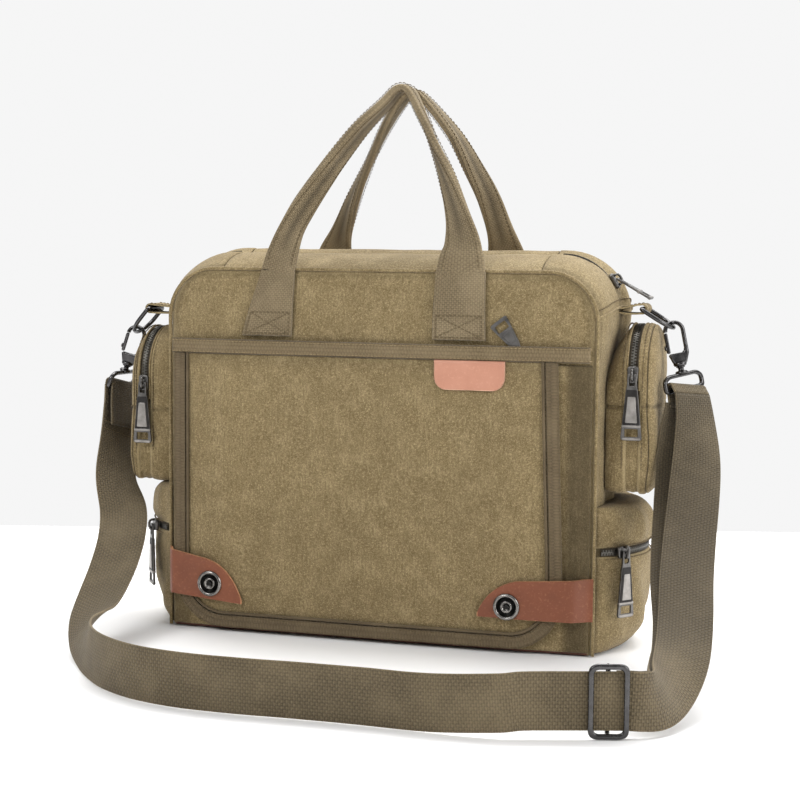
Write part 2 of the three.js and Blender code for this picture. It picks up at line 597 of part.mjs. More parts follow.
// D-ring of round wire: drawn with u along its straight bar and v from its bar, round end at negative v.
const D_HALF = 14.6;             // bar's middle to a leg's centre
const D_REACH = 26.3;            // bar centre to the wire's centre at the round end
function dRing() {
  const turn = D_HALF - D_REACH;
  const points = [vec(D_HALF, -3, 0), vec(D_HALF - 3, 0, 0), vec(5, 0, 0), vec(-5, 0, 0), vec(3 - D_HALF, 0, 0),
    vec(-D_HALF, -3, 0)];
  for (let step = 0; step <= 6; step += 1) {
    const a = Math.PI * (1 + step / 6);
    points.push(vec(D_HALF * Math.cos(a), turn + D_HALF * Math.sin(a), 0));
  }
  const centreLine = new THREE.CatmullRomCurve3(points, true, 'centripetal');
  return new THREE.TubeGeometry(centreLine, 40, WIRE / 2, 8, true);
}

// Hook: drawn with v up from its base, u across, gate on the negative u side.
function hookBody() {
  const shape = new THREE.Shape();
  shape.moveTo(-5.5, 0);
  shape.lineTo(5.5, 0);
  shape.lineTo(8.2, 8);
  shape.lineTo(8.2, 25.5);
  shape.absarc(0, 25.5, 8.2, 0, Math.PI, false);
  shape.lineTo(-5.2, 25.5);
  shape.absarc(0, 25.5, 5.2, Math.PI, 0, true);
  shape.lineTo(5.2, 10);
  shape.lineTo(3.2, 8.6);
  shape.lineTo(-7.2, 8.6);
  return blank(shape, 5, 0.8);
}

function gate() {
  return blank(roundedRect(-8.2, 9, -5.5, 25.1, 1.2), 3.4, 0.5);
}

// Strap ring with the swivel post on top: drawn with its bar's centre at the origin.
function strapRing(postTop) {
  const half = WEB / 2 + 3.6;
  const frame = roundedRect(-half, -1.6, half, 12.4, 4.5);
  frame.holes.push(roundedRect(-half + 3.2, 1.6, half - 3.2, 9.2, 2, new THREE.Path()));
  const post = new THREE.CylinderGeometry(2, 2, postTop - 10, 12);
  post.translate(0, (postTop + 10) / 2, 0);
  return join(blank(frame, 3.2, 0.7), post);
}

const BARS = {};
for (const [name, set] of Object.entries(SIDES)) {
  const { side, bar, fall } = set;
  const pivot = vec(side * bar[0], RING_Y, bar[1]);
  const outward = vec(side * Math.cos(fall), 0, -Math.sin(fall));
  const hang = vec(...set.hang).normalize();
  const eye = pivot.clone().addScaledVector(outward, D_REACH);
  const base = eye.clone().addScaledVector(hang, -HOOK_EYE);
  const barCentre = base.clone().addScaledVector(hang, -BAR_DROP);
  const web = vec(...set.web).normalize();
  const ringFace = new THREE.Vector3().crossVectors(web, hang);
  BARS[name] = barCentre;
  add(`ring_tab_${name}`, ringTab(set), canvas());
  add(`d_ring_${name}`, place(dRing(), pivot, outward.clone().negate(), vec(0.53 * side, 0, 0.85)), metal());
  add(`hook_${name}`, place(hookBody(), base, hang, vec(0.29, -0.955, 0)), metal());
  add(`hook_gate_${name}`, place(gate(), base, hang, vec(0.29, -0.955, 0)), metal());
  add(`strap_ring_${name}`, place(strapRing(BAR_DROP - GAP), barCentre, hang, ringFace), metal());
}

// ---- shoulder strap -----------------------------------------------------------------------
// The strap leaves the left ring, falls forward to the floor, twists on to its edge, runs in
// front of the bag through the adjuster, twists back and climbs to the right ring.
// Each point is [x, y, z] of the middle of the webbing, then its width direction.
const MAIN_RUN = [
  [-244.4, -6, 187.2, 0.05, 1, 0], [-242, -11, 165, 0.12, 0.99, 0], [-237, -21.5, 140, 0.25, 0.97, 0],
  [-228.5, -40, 115, 0.45, 0.89, 0], [-213, -59, 92, 0.85, 0.5, 0], [-204, -80, 74, 0.93, 0.35, 0.02],
  [-199, -104, 56, 0.95, 0.3, 0.05], [-195, -130, 41, 0.95, 0.25, 0.12], [-190, -157, 30, 0.93, 0.15, 0.3],
  [-181, -184, 23.5, 0.75, -0.05, 0.66], [-168, -212, 20.2, 0.35, -0.08, 0.93], [-150, -239, 19.6, 0.06, 0, 1],
  [-126, -262, 19.6, 0, 0, 1], [-96, -279, 19.6, 0, 0, 1], [-60, -288, 19.6, 0, 0, 1],
  [-20, -290, 19.6, 0, 0, 1], [26, -288.5, 19.6, 0, 0, 1], [70, -288.5, 19.6, 0, 0, 1],
  [112, -290, 19.8, 0, 0, 1], [154.9, -288.1, 22.6, 0, 0, 1], [171.1, -282.9, 24, 0, 0, 1],
  [197.7, -274.3, 24.3, 0, 0, 1], [230, -263.9, 24.3, 0, 0, 1], [243, -259.7, 23.8, 0, 0, 1],
  [252, -245, 22.8, -0.3, 0, 0.95], [255, -219, 26, -0.65, -0.1, 0.7], [256.5, -186, 38.5, -0.9, -0.25, 0.25],
  [253.5, -150, 55, -0.95, -0.3, 0.02], [249, -115, 76, -0.955, -0.295, 0], [246, -80, 99, -0.955, -0.295, 0],
  [244.5, -51, 124, -0.93, -0.36, 0], [243, -28, 149, -0.83, -0.55, 0], [240, -13.5, 174, -0.66, -0.75, 0],
  [236, -7.5, 197, -0.55, -0.835, 0],
];
// How far the return run lies behind the main run, at each point from RETURN_START up.
const RETURN_START = 22;
const RETURN_OFFSETS = [2.8, 3.2, 3.6, 4, 4.7, 6, 7.5, 9.5, 11, 11.5, 9, 5.8];
const RETURN_SIDES = [0, 0, 0, 0, 1, 3, 6, 8, 9, 9, 7, 3];   // how far it is shifted along the width
const RETURN_SPAN = [21.82, 32.8];   // it begins at the adjuster's bar and ends under the right ring
const ADJUSTER = { x: 222, y: -266.49, along: [0.952, 0.306, 0] };

function ribbonRows(run, samples, offset, from = 0, to = 1, shift = () => 0) {
  const curve = (list) => new THREE.CatmullRomCurve3(list.map((p) => vec(...p)), false, 'centripetal');
  const centres = new THREE.CatmullRomCurve3(run.map((p) => vec(p[0], p[1], p[2])), false, 'catmullrom', 0.5);
  const widths = curve(run.map((p) => [p[3], p[4], p[5]]));
  const rows = [];
  for (let i = 0; i <= samples; i += 1) {
    const t = from + (to - from) * (i / samples);
    const along = centres.getTangent(t);
    const wide = widths.getPoint(t);
    wide.addScaledVector(along, -wide.dot(along)).normalize();
    const face = new THREE.Vector3().crossVectors(along, wide);
    const centre = centres.getPoint(t).addScaledVector(face, offset(t)).addScaledVector(wide, shift(t));
    rows.push({ centre, wide, face, along });
  }
  return rows;
}

function ribbon(rows) {
  const side = (sign) => rows.map(({ centre, wide, face }) => [-1, 0, 1].map((k) =>
    centre.clone().addScaledVector(wide, k * WEB / 2).addScaledVector(face, sign * WEB_T / 2)));
  return sheet(side(1), side(-1));
}

function alongReturn(values, t) {
  const k = (t * (MAIN_RUN.length - 1) - RETURN_START);
  const i = Math.max(0, Math.min(values.length - 2, Math.floor(k)));
  const blend = Math.max(0, Math.min(1, k - i));
  return values[i] * (1 - blend) + values[i + 1] * blend;
}

add('strap_main', ribbon(ribbonRows(MAIN_RUN, 76, () => 0)), webbing());
const returnSpan = RETURN_SPAN.map((i) => i / (MAIN_RUN.length - 1));
add('strap_return', ribbon(ribbonRows(MAIN_RUN, 30, (t) => -alongReturn(RETURN_OFFSETS, t), ...returnSpan,
  (t) => alongReturn(RETURN_SIDES, t))), webbing());

// ---- strap adjuster -----------------------------------------------------------------------
// A rounded frame in front of the webbing, and a middle bar behind it that two lugs carry.
const BAR_R = 1.5;
function adjuster() {
  const frame = roundedRect(-13, -24, 13, 24, 6.5);
  frame.holes.push(roundedRect(-9.6, -20.6, 9.6, 20.6, 3.5, new THREE.Path()));
  const toBar = WEB_T + 2 * GAP + 2 * BAR_R;
  const bar = new THREE.CylinderGeometry(BAR_R, BAR_R, 43, 10);
  bar.translate(0, 0, -toBar);
  const lugs = [-1, 1].map((end) => {
    const lug = box([-BAR_R, Math.min(end * 20.2, end * 22.6), -toBar], [BAR_R, Math.max(end * 20.2, end * 22.6), 1]);
    return lug;
  });
  return join(blank(frame, 3, 0.7), bar, ...lugs);
}
const adjusterAlong = vec(...ADJUSTER.along).normalize();
const adjusterOut = vec(adjusterAlong.y, -adjusterAlong.x, 0);
const adjusterAt = vec(ADJUSTER.x, ADJUSTER.y, 24.4).addScaledVector(adjusterOut, WEB_T / 2 + GAP + BAR_R);
add('strap_adjuster', place(adjuster(), adjusterAt, vec(0, 0, 1), adjusterOut), metal());

export default bag;
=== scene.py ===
# Looks of the canvas messenger bag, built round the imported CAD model.
# Shapes are written in millimetres and turned into metres where meshes are made.
# +X is the right of the front face, -Y is the front, +Z is up.
from math import asin, copysign, cos, dist, exp, floor, pi, radians, sin, sqrt
import bmesh
import bpy
from mathutils import Matrix, Vector, noise


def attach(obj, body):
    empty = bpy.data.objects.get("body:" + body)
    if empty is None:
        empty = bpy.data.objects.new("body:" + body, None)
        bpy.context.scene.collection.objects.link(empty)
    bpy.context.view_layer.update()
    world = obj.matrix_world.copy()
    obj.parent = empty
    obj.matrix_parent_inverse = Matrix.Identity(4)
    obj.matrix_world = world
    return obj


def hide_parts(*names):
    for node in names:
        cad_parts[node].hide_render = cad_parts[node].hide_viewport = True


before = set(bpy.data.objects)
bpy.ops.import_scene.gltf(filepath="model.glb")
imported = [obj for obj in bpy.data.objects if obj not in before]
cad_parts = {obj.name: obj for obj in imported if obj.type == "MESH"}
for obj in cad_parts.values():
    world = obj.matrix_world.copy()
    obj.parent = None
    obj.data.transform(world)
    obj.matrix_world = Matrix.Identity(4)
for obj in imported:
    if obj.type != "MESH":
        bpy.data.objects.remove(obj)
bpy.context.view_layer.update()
MM = 0.001
HANDS = (("left", -1), ("right", 1))


# ---- camera -------------------------------------------------------------------------------
AZIMUTH, ELEVATION, ROLL = radians(17.11), radians(4.96), radians(0.48)
TARGET, DISTANCE, LENS = Vector((0.0025, 0, 0.1838)), 1.372, 77.07
# level directions away from the camera and to its right
AWAY = Vector((-sin(AZIMUTH), cos(AZIMUTH), 0))
ACROSS = Vector((cos(AZIMUTH), sin(AZIMUTH), 0))


def make_camera():
    back = Vector((0, 0, sin(ELEVATION))) - AWAY * cos(ELEVATION)
    right = ACROSS * cos(ROLL) + back.cross(ACROSS) * sin(ROLL)
    data = bpy.data.cameras.new("camera")
    data.sensor_width, data.lens = 36, LENS
    camera = bpy.data.objects.new("camera", data)
    axes = Matrix((right, back.cross(right), back)).transposed().to_4x4()
    camera.matrix_world = Matrix.Translation(TARGET + back * DISTANCE) @ axes
    bpy.context.collection.objects.link(camera)
    bpy.context.scene.camera = camera


make_camera()


# ---- node graphs --------------------------------------------------------------------------
class Graph:
    """A material's node tree, with short calls for the nodes used here."""

    def __init__(self, name):
        self.material = bpy.data.materials.new(name)
        self.material.use_nodes = True
        self.tree = self.material.node_tree
        self.tree.nodes.clear()
        self.coords = self.node("TexCoord").outputs

    def node(self, kind, inputs=None, **settings):
        made = self.tree.nodes.new("ShaderNode" + kind)
        for key, value in settings.items():
            setattr(made, key, value)
        for key, value in (inputs or {}).items():
            if isinstance(value, bpy.types.NodeSocket):
                self.tree.links.new(value, made.inputs[key])
            else:
                made.inputs[key].default_value = value
        return made

    def math(self, operation, a, b=0.0):
        return self.node("Math", {0: a, 1: b}, operation=operation).outputs[0]

    def stretched(self, scale):
        return self.node("Mapping", {"Vector": self.coords["Object"], "Scale": scale}).outputs[0]

    def noise(self, scale, vector=None, detail=4.0, rough=0.55):
        vector = vector if vector is not None else self.coords["Object"]
        made = self.node("TexNoise", {"Vector": vector, "Scale": scale, "Detail": detail,
                                      "Roughness": rough})
        return made.outputs["Fac"]

    def ramp(self, value, low, high, out_low=0.0, out_high=1.0):
        return self.node("MapRange", {"Value": value, "From Min": low, "From Max": high, "To Min": out_low,
                                      "To Max": out_high}).outputs[0]

    def mix(self, fac, a, b):
        return self.node("Mix", {0: fac, 6: a, 7: b}, data_type="RGBA").outputs[2]

    def attribute(self, name):
        return self.node("Attribute", attribute_name=name).outputs["Fac"]

    def uv(self):
        split = self.node("SeparateXYZ", {0: self.coords["UV"]}).outputs
        return split[0], split[1]

    def finish(self, color, height=None, distance=0.0004, strength=1.0, roughness=0.9, metallic=0.0,
               sheen=0.0, specular=0.5):
        settings = {"Base Color": color, "Roughness": roughness, "Metallic": metallic,
                    "Sheen Weight": sheen, "Specular IOR Level": specular}
        if height is not None:
            settings["Normal"] = self.node("Bump", {"Height": height, "Distance": distance,
                                                    "Strength": strength}).outputs[0]
        shader = self.node("BsdfPrincipled", settings)
        out = self.node("OutputMaterial")
        self.tree.links.new(shader.outputs[0], out.inputs[0])
        return self.material


def rgb(r, g, b):
    """A linear colour from the usual 0 to 255 values."""
    return tuple((c / 255 / 12.92 if c <= 10 else ((c / 255 + 0.055) / 1.055) ** 2.4)
                 for c in (r, g, b)) + (1,)


def canvas_material(name, base, dark, light):
    g = Graph(name)
    cloud = g.noise(14, detail=5, rough=0.6)
    patches = g.noise(60, detail=4)
    streak = g.noise(1, g.stretched((720, 720, 130)), detail=3, rough=0.65)
    grain = g.noise(1300, detail=3, rough=0.75)
    flecks = g.noise(640, detail=2, rough=0.8)
    color = g.mix(g.ramp(cloud, 0.32, 0.68, 0.2, 0.75), dark, base)
    color = g.mix(g.ramp(patches, 0.44, 0.72, 0, 0.4), color, light)
    color = g.mix(g.ramp(streak, 0.34, 0.62, 0.8, 0), color, dark)
    color = g.mix(g.ramp(grain, 0.48, 0.68, 0, 0.7), color, light)
    color = g.mix(g.ramp(flecks, 0.56, 0.7, 0, 0.45), color, light)
    color = g.mix(g.ramp(flecks, 0.33, 0.48, 0.65, 0), color, dark)
    color = g.mix(g.ramp(g.attribute("wear"), 0, 1, 0, 0.75), color, light)
    color = g.mix(g.ramp(g.attribute("shade"), 0, 1, 0, 0.85), color, rgb(52, 43, 28))
    height = g.math("ADD", g.math("MULTIPLY", streak, 1.4), grain)
    height = g.math("ADD", height, g.math("MULTIPLY", g.noise(130, detail=5, rough=0.65), 1.6))
    return g.finish(color, height, 0.00055, 0.8, 0.92, sheen=0.12, specular=0.25)


def webbing_material(name, base, dark, light, pitch=1.7, across=2.2):
    """Woven band. UV runs across in u and along in v, both in millimetres."""
    g = Graph(name)
    u, v = g.uv()
    weft = g.math("SINE", g.math("MULTIPLY", v, 2 * pi / pitch))
    offset = g.math("MULTIPLY", g.math("FLOOR", g.math("DIVIDE", u, across)), pi)
    warp = g.math("SINE", g.math("ADD", g.math("MULTIPLY", v, pi / pitch), offset))
    ridge = g.math("ABSOLUTE", g.math("SINE", g.math("MULTIPLY", u, pi / across)))
    weave = g.math("ADD", g.math("MULTIPLY", weft, 0.25), g.math("MULTIPLY", warp, 0.3))
    weave = g.math("ADD", weave, g.math("MULTIPLY", ridge, 0.6))
    fuzz = g.noise(900, detail=3, rough=0.7)
    cloud = g.noise(22, detail=5, rough=0.6)
    color = g.mix(g.ramp(weave, -0.3, 1.0), dark, base)
    color = g.mix(g.ramp(cloud, 0.45, 0.75, 0, 0.45), color, light)
    color = g.mix(g.ramp(fuzz, 0.5, 0.8, 0, 0.5), color, light)
    color = g.mix(g.ramp(g.attribute("wear"), 0, 1, 0, 0.6), color, light)
    color = g.mix(g.ramp(g.attribute("shade"), 0, 1, 0, 0.8), color, rgb(38, 32, 22))
    return g.finish(color, g.math("ADD", weave, fuzz), 0.0005, 0.8, 0.88, sheen=0.1, specular=0.3)


def leather_material(name, base, dark, edge):
    g = Graph(name)
    cloud = g.noise(35, detail=6, rough=0.6)
    pores = g.node("TexVoronoi", {"Vector": g.coords["Object"], "Scale": 1500.0}).outputs["Distance"]
    color = g.mix(g.ramp(cloud, 0.3, 0.7), dark, base)
    color = g.mix(g.ramp(g.noise(500, detail=4), 0.55, 0.8, 0, 0.3), color, edge)
    color = g.mix(g.ramp(g.attribute("wear"), 0.3, 0.9, 0, 0.9), color, edge)
    height = g.math("ADD", g.math("MULTIPLY", pores, 0.5), g.noise(220, detail=5, rough=0.65))
    return g.finish(color, height, 0.00035, 0.5, 0.46, specular=0.45)


def metal_material(name, base, roughness):
    g = Graph(name)
    smudge = g.noise(160, detail=5, rough=0.6)
    scratch = g.noise(1, g.stretched((2600, 300, 300)), detail=3)
    color = g.mix(g.ramp(smudge, 0.35, 0.7), base, tuple(c * 1.6 for c in base[:3]) + (1,))
    rough = g.ramp(g.math("ADD", smudge, g.math("MULTIPLY", scratch, 0.4)), 0.4, 0.95, roughness,
                   roughness + 0.18)
    return g.finish(color, scratch, 0.00005, 0.3, rough, metallic=1.0)


CANVAS = canvas_material("canvas", rgb(139, 121, 85), rgb(104, 88, 58), rgb(186, 167, 127))
# Painted light: a copy of the canvas with a slightly lighter tone, for the side, bottom and top panels that
# turn away from the front.
CANVAS_LIT_COPY = canvas_material("canvas_lit_copy", rgb(142, 124, 88), rgb(108, 92, 61), rgb(184, 166, 127))
WEBBING = webbing_material("strap_webbing", rgb(103, 91, 69), rgb(64, 55, 40), rgb(136, 121, 94))
HANDLE = webbing_material("handle_webbing", rgb(136, 120, 92), rgb(88, 76, 56), rgb(170, 153, 122), 1.5,
                          1.8)
BAND = webbing_material("band_webbing", rgb(128, 112, 84), rgb(96, 82, 60), rgb(152, 135, 105), 1.3, 3.0)
BINDING = webbing_material("binding", rgb(110, 95, 72), rgb(80, 68, 49), rgb(134, 118, 91), 1.2, 6.0)
LEATHER = leather_material("leather", rgb(136, 78, 51), rgb(118, 65, 42), rgb(196, 142, 102))
TAG = leather_material("tag_leather", rgb(196, 140, 116), rgb(180, 124, 100), rgb(222, 176, 150))
METAL = metal_material("gunmetal", (0.062, 0.06, 0.06, 1), 0.16)
PULL_METAL = metal_material("pull_metal", (0.11, 0.105, 0.1, 1), 0.24)
PULL_BRIGHT = metal_material("pull_raised_metal", (0.24, 0.225, 0.21, 1), 0.28)
DARK_PULL = metal_material("pull_dark_metal", (0.035, 0.033, 0.032, 1), 0.4)
SNAP_METAL = metal_material("snap_metal", (0.2, 0.19, 0.18, 1), 0.14)
DARK_METAL = metal_material("snap_dish", (0.03, 0.029, 0.028, 1), 0.25)
TEETH_METAL = metal_material("zip_teeth", (0.09, 0.085, 0.075, 1), 0.35)


def plain_material(name, base, light, scale, roughness):
    g = Graph(name)
    color = g.mix(g.ramp(g.noise(scale, detail=5, rough=0.65), 0.35, 0.7), base, light)
    return g.finish(color, g.noise(scale * 3, detail=3), 0.0003, 0.6, roughness)


TAPE = plain_material("zip_tape", rgb(50, 44, 34), rgb(70, 61, 46), 700, 0.85)
BOARD = plain_material("board", rgb(48, 46, 43), rgb(60, 58, 54), 300, 0.7)
PIPING = plain_material("piping", rgb(84, 48, 38), rgb(104, 62, 50), 500, 0.7)
THREAD = plain_material("thread", rgb(128, 110, 78), rgb(160, 142, 108), 900, 0.8)
THREAD_DARK = plain_material("thread_dark", rgb(92, 78, 54), rgb(112, 96, 68), 900, 0.8)


# ---- mesh helpers -------------------------------------------------------------------------
def link(name, mesh, material, body, replaces=()):
    piece = bpy.data.objects.new(name, mesh)
    bpy.context.collection.objects.link(piece)
    if material is not None:
        mesh.materials.clear()
        mesh.materials.append(material)
    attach(piece, body)
    if replaces:
        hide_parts(*replaces)
    return piece


def raw_mesh(name, points, faces, uvs=None, wear=None, shade=None, flat=False):
    """Points in millimetres. uvs, wear and shade hold one value for each point."""
    mesh = bpy.data.meshes.new(name)
    mesh.from_pydata([Vector(p) * MM for p in points], [], faces)
    for label, values in (("wear", wear), ("shade", shade)):
        layer = mesh.attributes.new(label, "FLOAT", "POINT")
        layer.data.foreach_set("value", values or [0.0] * len(points))
    if uvs:
        layer = mesh.uv_layers.new(name="UVMap")
        for loop in mesh.loops:
            layer.data[loop.index].uv = uvs[loop.vertex_index]
    for polygon in mesh.polygons:
        polygon.use_smooth = not flat
    mesh.validate()
    return mesh


def face_outward(mesh, weld=0.0):
    """Drops loose points, welds doubled ones when asked, and makes the faces look outward."""
    work = bmesh.new()
    work.from_mesh(mesh)
    bmesh.ops.delete(work, geom=[v for v in work.verts if not v.link_faces], context="VERTS")
    if weld:
        bmesh.ops.remove_doubles(work, verts=work.verts, dist=weld)
    bmesh.ops.recalc_face_normals(work, faces=work.faces)
    work.to_mesh(mesh)
    work.free()


def neighbours(path, i):
    """The points before and after one, or the point itself at an end."""
    return path[max(i - 1, 0)], path[min(i + 1, len(path) - 1)]


def along_path(path, i):
    before, after = neighbours(path, i)
    return (after - before).normalized()


def grid_normals(rows):
    normals = []
    for i, row in enumerate(rows):
        above, below = neighbours(rows, i)
        line = []
        for j in range(len(row)):
            left, right = neighbours(row, j)
            line.append((below[j] - above[j]).cross(right - left).normalized())
        normals.append(line)
    return normals


def slab(name, rows, thickness, material, body, replaces=(), wear=None, shade=None, toward=None, edge=0.35,
         uvs=None):
    """A sheet with rounded rims: rows is its outer face, and the inner face lies thickness behind it.
    toward is a direction that the outer face looks along, so that the grid's own order doesn't matter."""
    rows = [[Vector(p) for p in row] for row in rows]
    normals = grid_normals(rows)
    middle = normals[len(rows) // 2][len(rows[0]) // 2]
    sign = -1.0 if toward is not None and middle.dot(Vector(toward)) < 0 else 1.0
    n_i, n_j = len(rows), len(rows[0])
    points, wears, shades, uv_list = [], [], [], []
    for layer, depth in enumerate((0.0, thickness / 2, thickness)):
        for i in range(n_i):
            for j in range(n_j):
                rim = i in (0, n_i - 1) or j in (0, n_j - 1)
                p = rows[i][j] - normals[i][j] * sign * depth
                if rim and layer != 1:
                    inward = Vector((0, 0, 0))
                    if i in (0, n_i - 1):
                        inward += (rows[1 if i == 0 else n_i - 2][j] - rows[i][j]).normalized()
                    if j in (0, n_j - 1):
                        inward += (rows[i][1 if j == 0 else n_j - 2] - rows[i][j]).normalized()
                    p = p + inward * (thickness * edge)
                points.append(p)
                wears.append(wear(i, j) if wear else 0.0)
                shades.append(shade(i, j) if shade else 0.0)
                uv_list.append(uvs(i, j) if uvs else (rows[i][j].x + rows[i][j].y, rows[i][j].z))
    faces = []

    def quad(*corners):
        faces.append(tuple((layer * n_i + i) * n_j + j for layer, i, j in corners))

    for i in range(n_i - 1):
        for j in range(n_j - 1):
            quad((0, i, j), (0, i + 1, j), (0, i + 1, j + 1), (0, i, j + 1))
            quad((2, i, j), (2, i, j + 1), (2, i + 1, j + 1), (2, i + 1, j))
    # the middle layer is used on the rims only
    for k in (0, 1):
        for i in range(n_i - 1):
            quad((k, i, 0), (k + 1, i, 0), (k + 1, i + 1, 0), (k, i + 1, 0))
            quad((k, i + 1, n_j - 1), (k + 1, i + 1, n_j - 1), (k + 1, i, n_j - 1), (k, i, n_j - 1))
        for j in range(n_j - 1):
            quad((k, 0, j + 1), (k + 1, 0, j + 1), (k + 1, 0, j), (k, 0, j))
            quad((k, n_i - 1, j), (k + 1, n_i - 1, j), (k + 1, n_i - 1, j + 1), (k, n_i - 1, j + 1))
    if sign < 0:
        faces = [tuple(reversed(f)) for f in faces]
    mesh = raw_mesh(name, points, faces, uv_list, wears, shades)
    face_outward(mesh)
    return link(name, mesh, material, body, replaces)


def loft(name, rings, material, body, replaces=(), closed=True, uvs=None, wear=None, shade=None,
         capped=True):
    """A skin through rings of equal point count."""
    count = len(rings[0])
    points = [Vector(p) for ring in rings for p in ring]
    faces = []
    for i in range(len(rings) - 1):
        for j in range(count if closed else count - 1):
            k = (j + 1) % count
            faces.append((i * count + j, i * count + k, (i + 1) * count + k, (i + 1) * count + j))
    values = [(i, j) for i in range(len(rings)) for j in range(count)]
    uv_list = [uvs(i, j) for i, j in values] if uvs else [(p.x + p.y, p.z) for p in points]
    wears = [wear(i, j) if wear else 0.0 for i, j in values]
    shades = [shade(i, j) if shade else 0.0 for i, j in values]
    if capped:
        for start in (0, (len(rings) - 1) * count):
            centre = sum((points[start + j] for j in range(count)), Vector()) / count
            points.append(centre)
            uv_list.append(uv_list[start])
            wears.append(wears[start])
            shades.append(shades[start])
            for j in range(count):
                faces.append((len(points) - 1, start + j, start + (j + 1) % count))
    mesh = raw_mesh(name, points, faces, uv_list, wears, shades)
    face_outward(mesh)
    return link(name, mesh, material, body, replaces)


def circle(count):
    """Cosine and sine at even steps round a circle."""
    return [(cos(2 * pi * k / count), sin(2 * pi * k / count)) for k in range(count)]


def tube_mesh(path, radius, sides=8, cyclic=False):
    path = [Vector(p) for p in path]
    total = len(path)
    points, faces, normal = [], [], None
    for i, p in enumerate(path):
        ahead = (path[(i + 1) % total] - path[i - 1]).normalized() if cyclic else along_path(path, i)
        if normal is None:
            normal = ahead.orthogonal().normalized()
        normal = (normal - ahead * normal.dot(ahead)).normalized()
        other = ahead.cross(normal)
        points += [p + (normal * c + other * d) * radius for c, d in circle(sides)]
    for i in range(total if cyclic else total - 1):
        n = (i + 1) % total
        for j in range(sides):
            k = (j + 1) % sides
            faces.append((i * sides + j, i * sides + k, n * sides + k, n * sides + j))
    if not cyclic:
        faces.append(tuple(reversed(range(sides))))
        faces.append(tuple((total - 1) * sides + j for j in range(sides)))
    return points, faces


def tube(name, path, radius, material, body, replaces=(), sides=8, cyclic=False):
    points, faces = tube_mesh(path, radius, sides, cyclic)
    return link(name, raw_mesh(name, points, faces), material, body, replaces)


def merged(name, parts, material, body, replaces=(), flat=False):
    points, faces = [], []
    for part_points, part_faces in parts:
        base = len(points)
        points.extend(part_points)
        faces.extend(tuple(base + k for k in f) for f in part_faces)
    return link(name, raw_mesh(name, points, faces, flat=flat), material, body, replaces)


def box_part(centre, x_axis, y_axis, z_axis, size):
    x, y, z = (Vector(a) * s / 2 for a, s in zip((x_axis, y_axis, z_axis), size))
    c = Vector(centre)
    points = [c + x * a + y * b + z * d for a in (-1, 1) for b in (-1, 1) for d in (-1, 1)]
    faces = [(0, 1, 3, 2), (4, 6, 7, 5), (0, 4, 5, 1), (2, 3, 7, 6), (0, 2, 6, 4), (1, 5, 7, 3)]
    return points, faces


def resample(path, step):
    """Points a fixed step apart along a path, with the direction at each."""
    path = [Vector(p) for p in path]
    out, carry = [], step / 2
    for a, b in zip(path, path[1:]):
        length = (b - a).length
        if length < 1e-9:
            continue
        ahead = (b - a) / length
        while carry <= length:
            out.append((a + ahead * carry, ahead))
            carry += step
        carry -= length
    return out


def at_point(direction, p):
    """A direction that is the same everywhere, or one that depends on the place."""
    return Vector(direction(p) if callable(direction) else direction)


STITCH_PITCH, STITCH, STITCH_R, STITCH_SINK = 3.1, 2.3, 0.42, 0.12


def stitches(name, paths, material, body, normal):
    """Rows of single stitches: short raised threads whose ends dip into the cloth."""
    parts = []
    for path in paths:
        for p, ahead in resample(path, STITCH_PITCH):
            out = at_point(normal, p)
            dip, rise = out * (STITCH_R + STITCH_SINK), out * STITCH_SINK
            line = [p - ahead * STITCH / 2 - dip, p - ahead * STITCH / 4 + rise,
                    p + ahead * STITCH / 4 + rise, p + ahead * STITCH / 2 - dip]
            parts.append(tube_mesh(line, STITCH_R, 5))
    return merged(name, parts, material, body)


def local_matrix(origin, up, out):
    """Places a locally drawn piece: u across, v up, w outwards."""
    v = Vector(up).normalized()
    w = Vector(out) - v * Vector(out).dot(v)
    w.normalize()
    u = v.cross(w)
    return Matrix.Translation(Vector(origin)) @ Matrix((u, v, w)).transposed().to_4x4()


def rounded(points, radius, steps=4):
    """A closed outline with its corners rounded."""
    out = []
    count = len(points)
    for i, p in enumerate(points):
        p, a, b = Vector(p), Vector(points[i - 1]), Vector(points[(i + 1) % count])
        r = radius[i] if isinstance(radius, (list, tuple)) else radius
        r = min(r, (a - p).length * 0.45, (b - p).length * 0.45)
        start, end = p + (a - p).normalized() * r, p + (b - p).normalized() * r
        for k in range(steps + 1):
            t = k / steps
            out.append(start * (1 - t) ** 2 + p * 2 * t * (1 - t) + end * t ** 2)
    return out


def rectangle(u0, v0, u1, v1):
    return [(u0, v0), (u1, v0), (u1, v1), (u0, v1)]


def trapezium(v0, half0, v1, half1):
    return [(-half0, v0), (half0, v0), (half1, v1), (-half1, v1)]


def plate(name, outlines, thickness, bevel, matrix, material, body, replaces=()):
    """A blank with bevelled edges, from an outline and its holes, centred on its own mid plane."""
    curve = bpy.data.curves.new(name, "CURVE")
    curve.dimensions = "2D"
    curve.fill_mode = "BOTH"
    for outline in outlines:
        spline = curve.splines.new("POLY")
        spline.points.add(len(outline) - 1)
        for point, p in zip(spline.points, outline):
            point.co = (p[0], p[1], 0, 1)
        spline.use_cyclic_u = True
    curve.extrude = thickness / 2 - bevel
    curve.bevel_depth = bevel
    curve.bevel_resolution = 2
    curve.offset = -bevel
    holder = bpy.data.objects.new(name, curve)
    bpy.context.collection.objects.link(holder)
    evaluated = holder.evaluated_get(bpy.context.evaluated_depsgraph_get())
    mesh = bpy.data.meshes.new_from_object(evaluated)
    bpy.data.objects.remove(holder)
    bpy.data.curves.remove(curve)
    mesh.transform(Matrix.Scale(MM, 4) @ matrix)
    face_outward(mesh, weld=1e-7)
    mesh.name = name
    return link(name, mesh, material, body, replaces)


def lump(p, scale, seed):
    return noise.noise(Vector(p) * scale + Vector((seed * 7.3, seed * 3.1, seed * 5.7)))


def ease(t):
    t = max(0.0, min(1.0, t))
    return t * t * (3 - 2 * t)


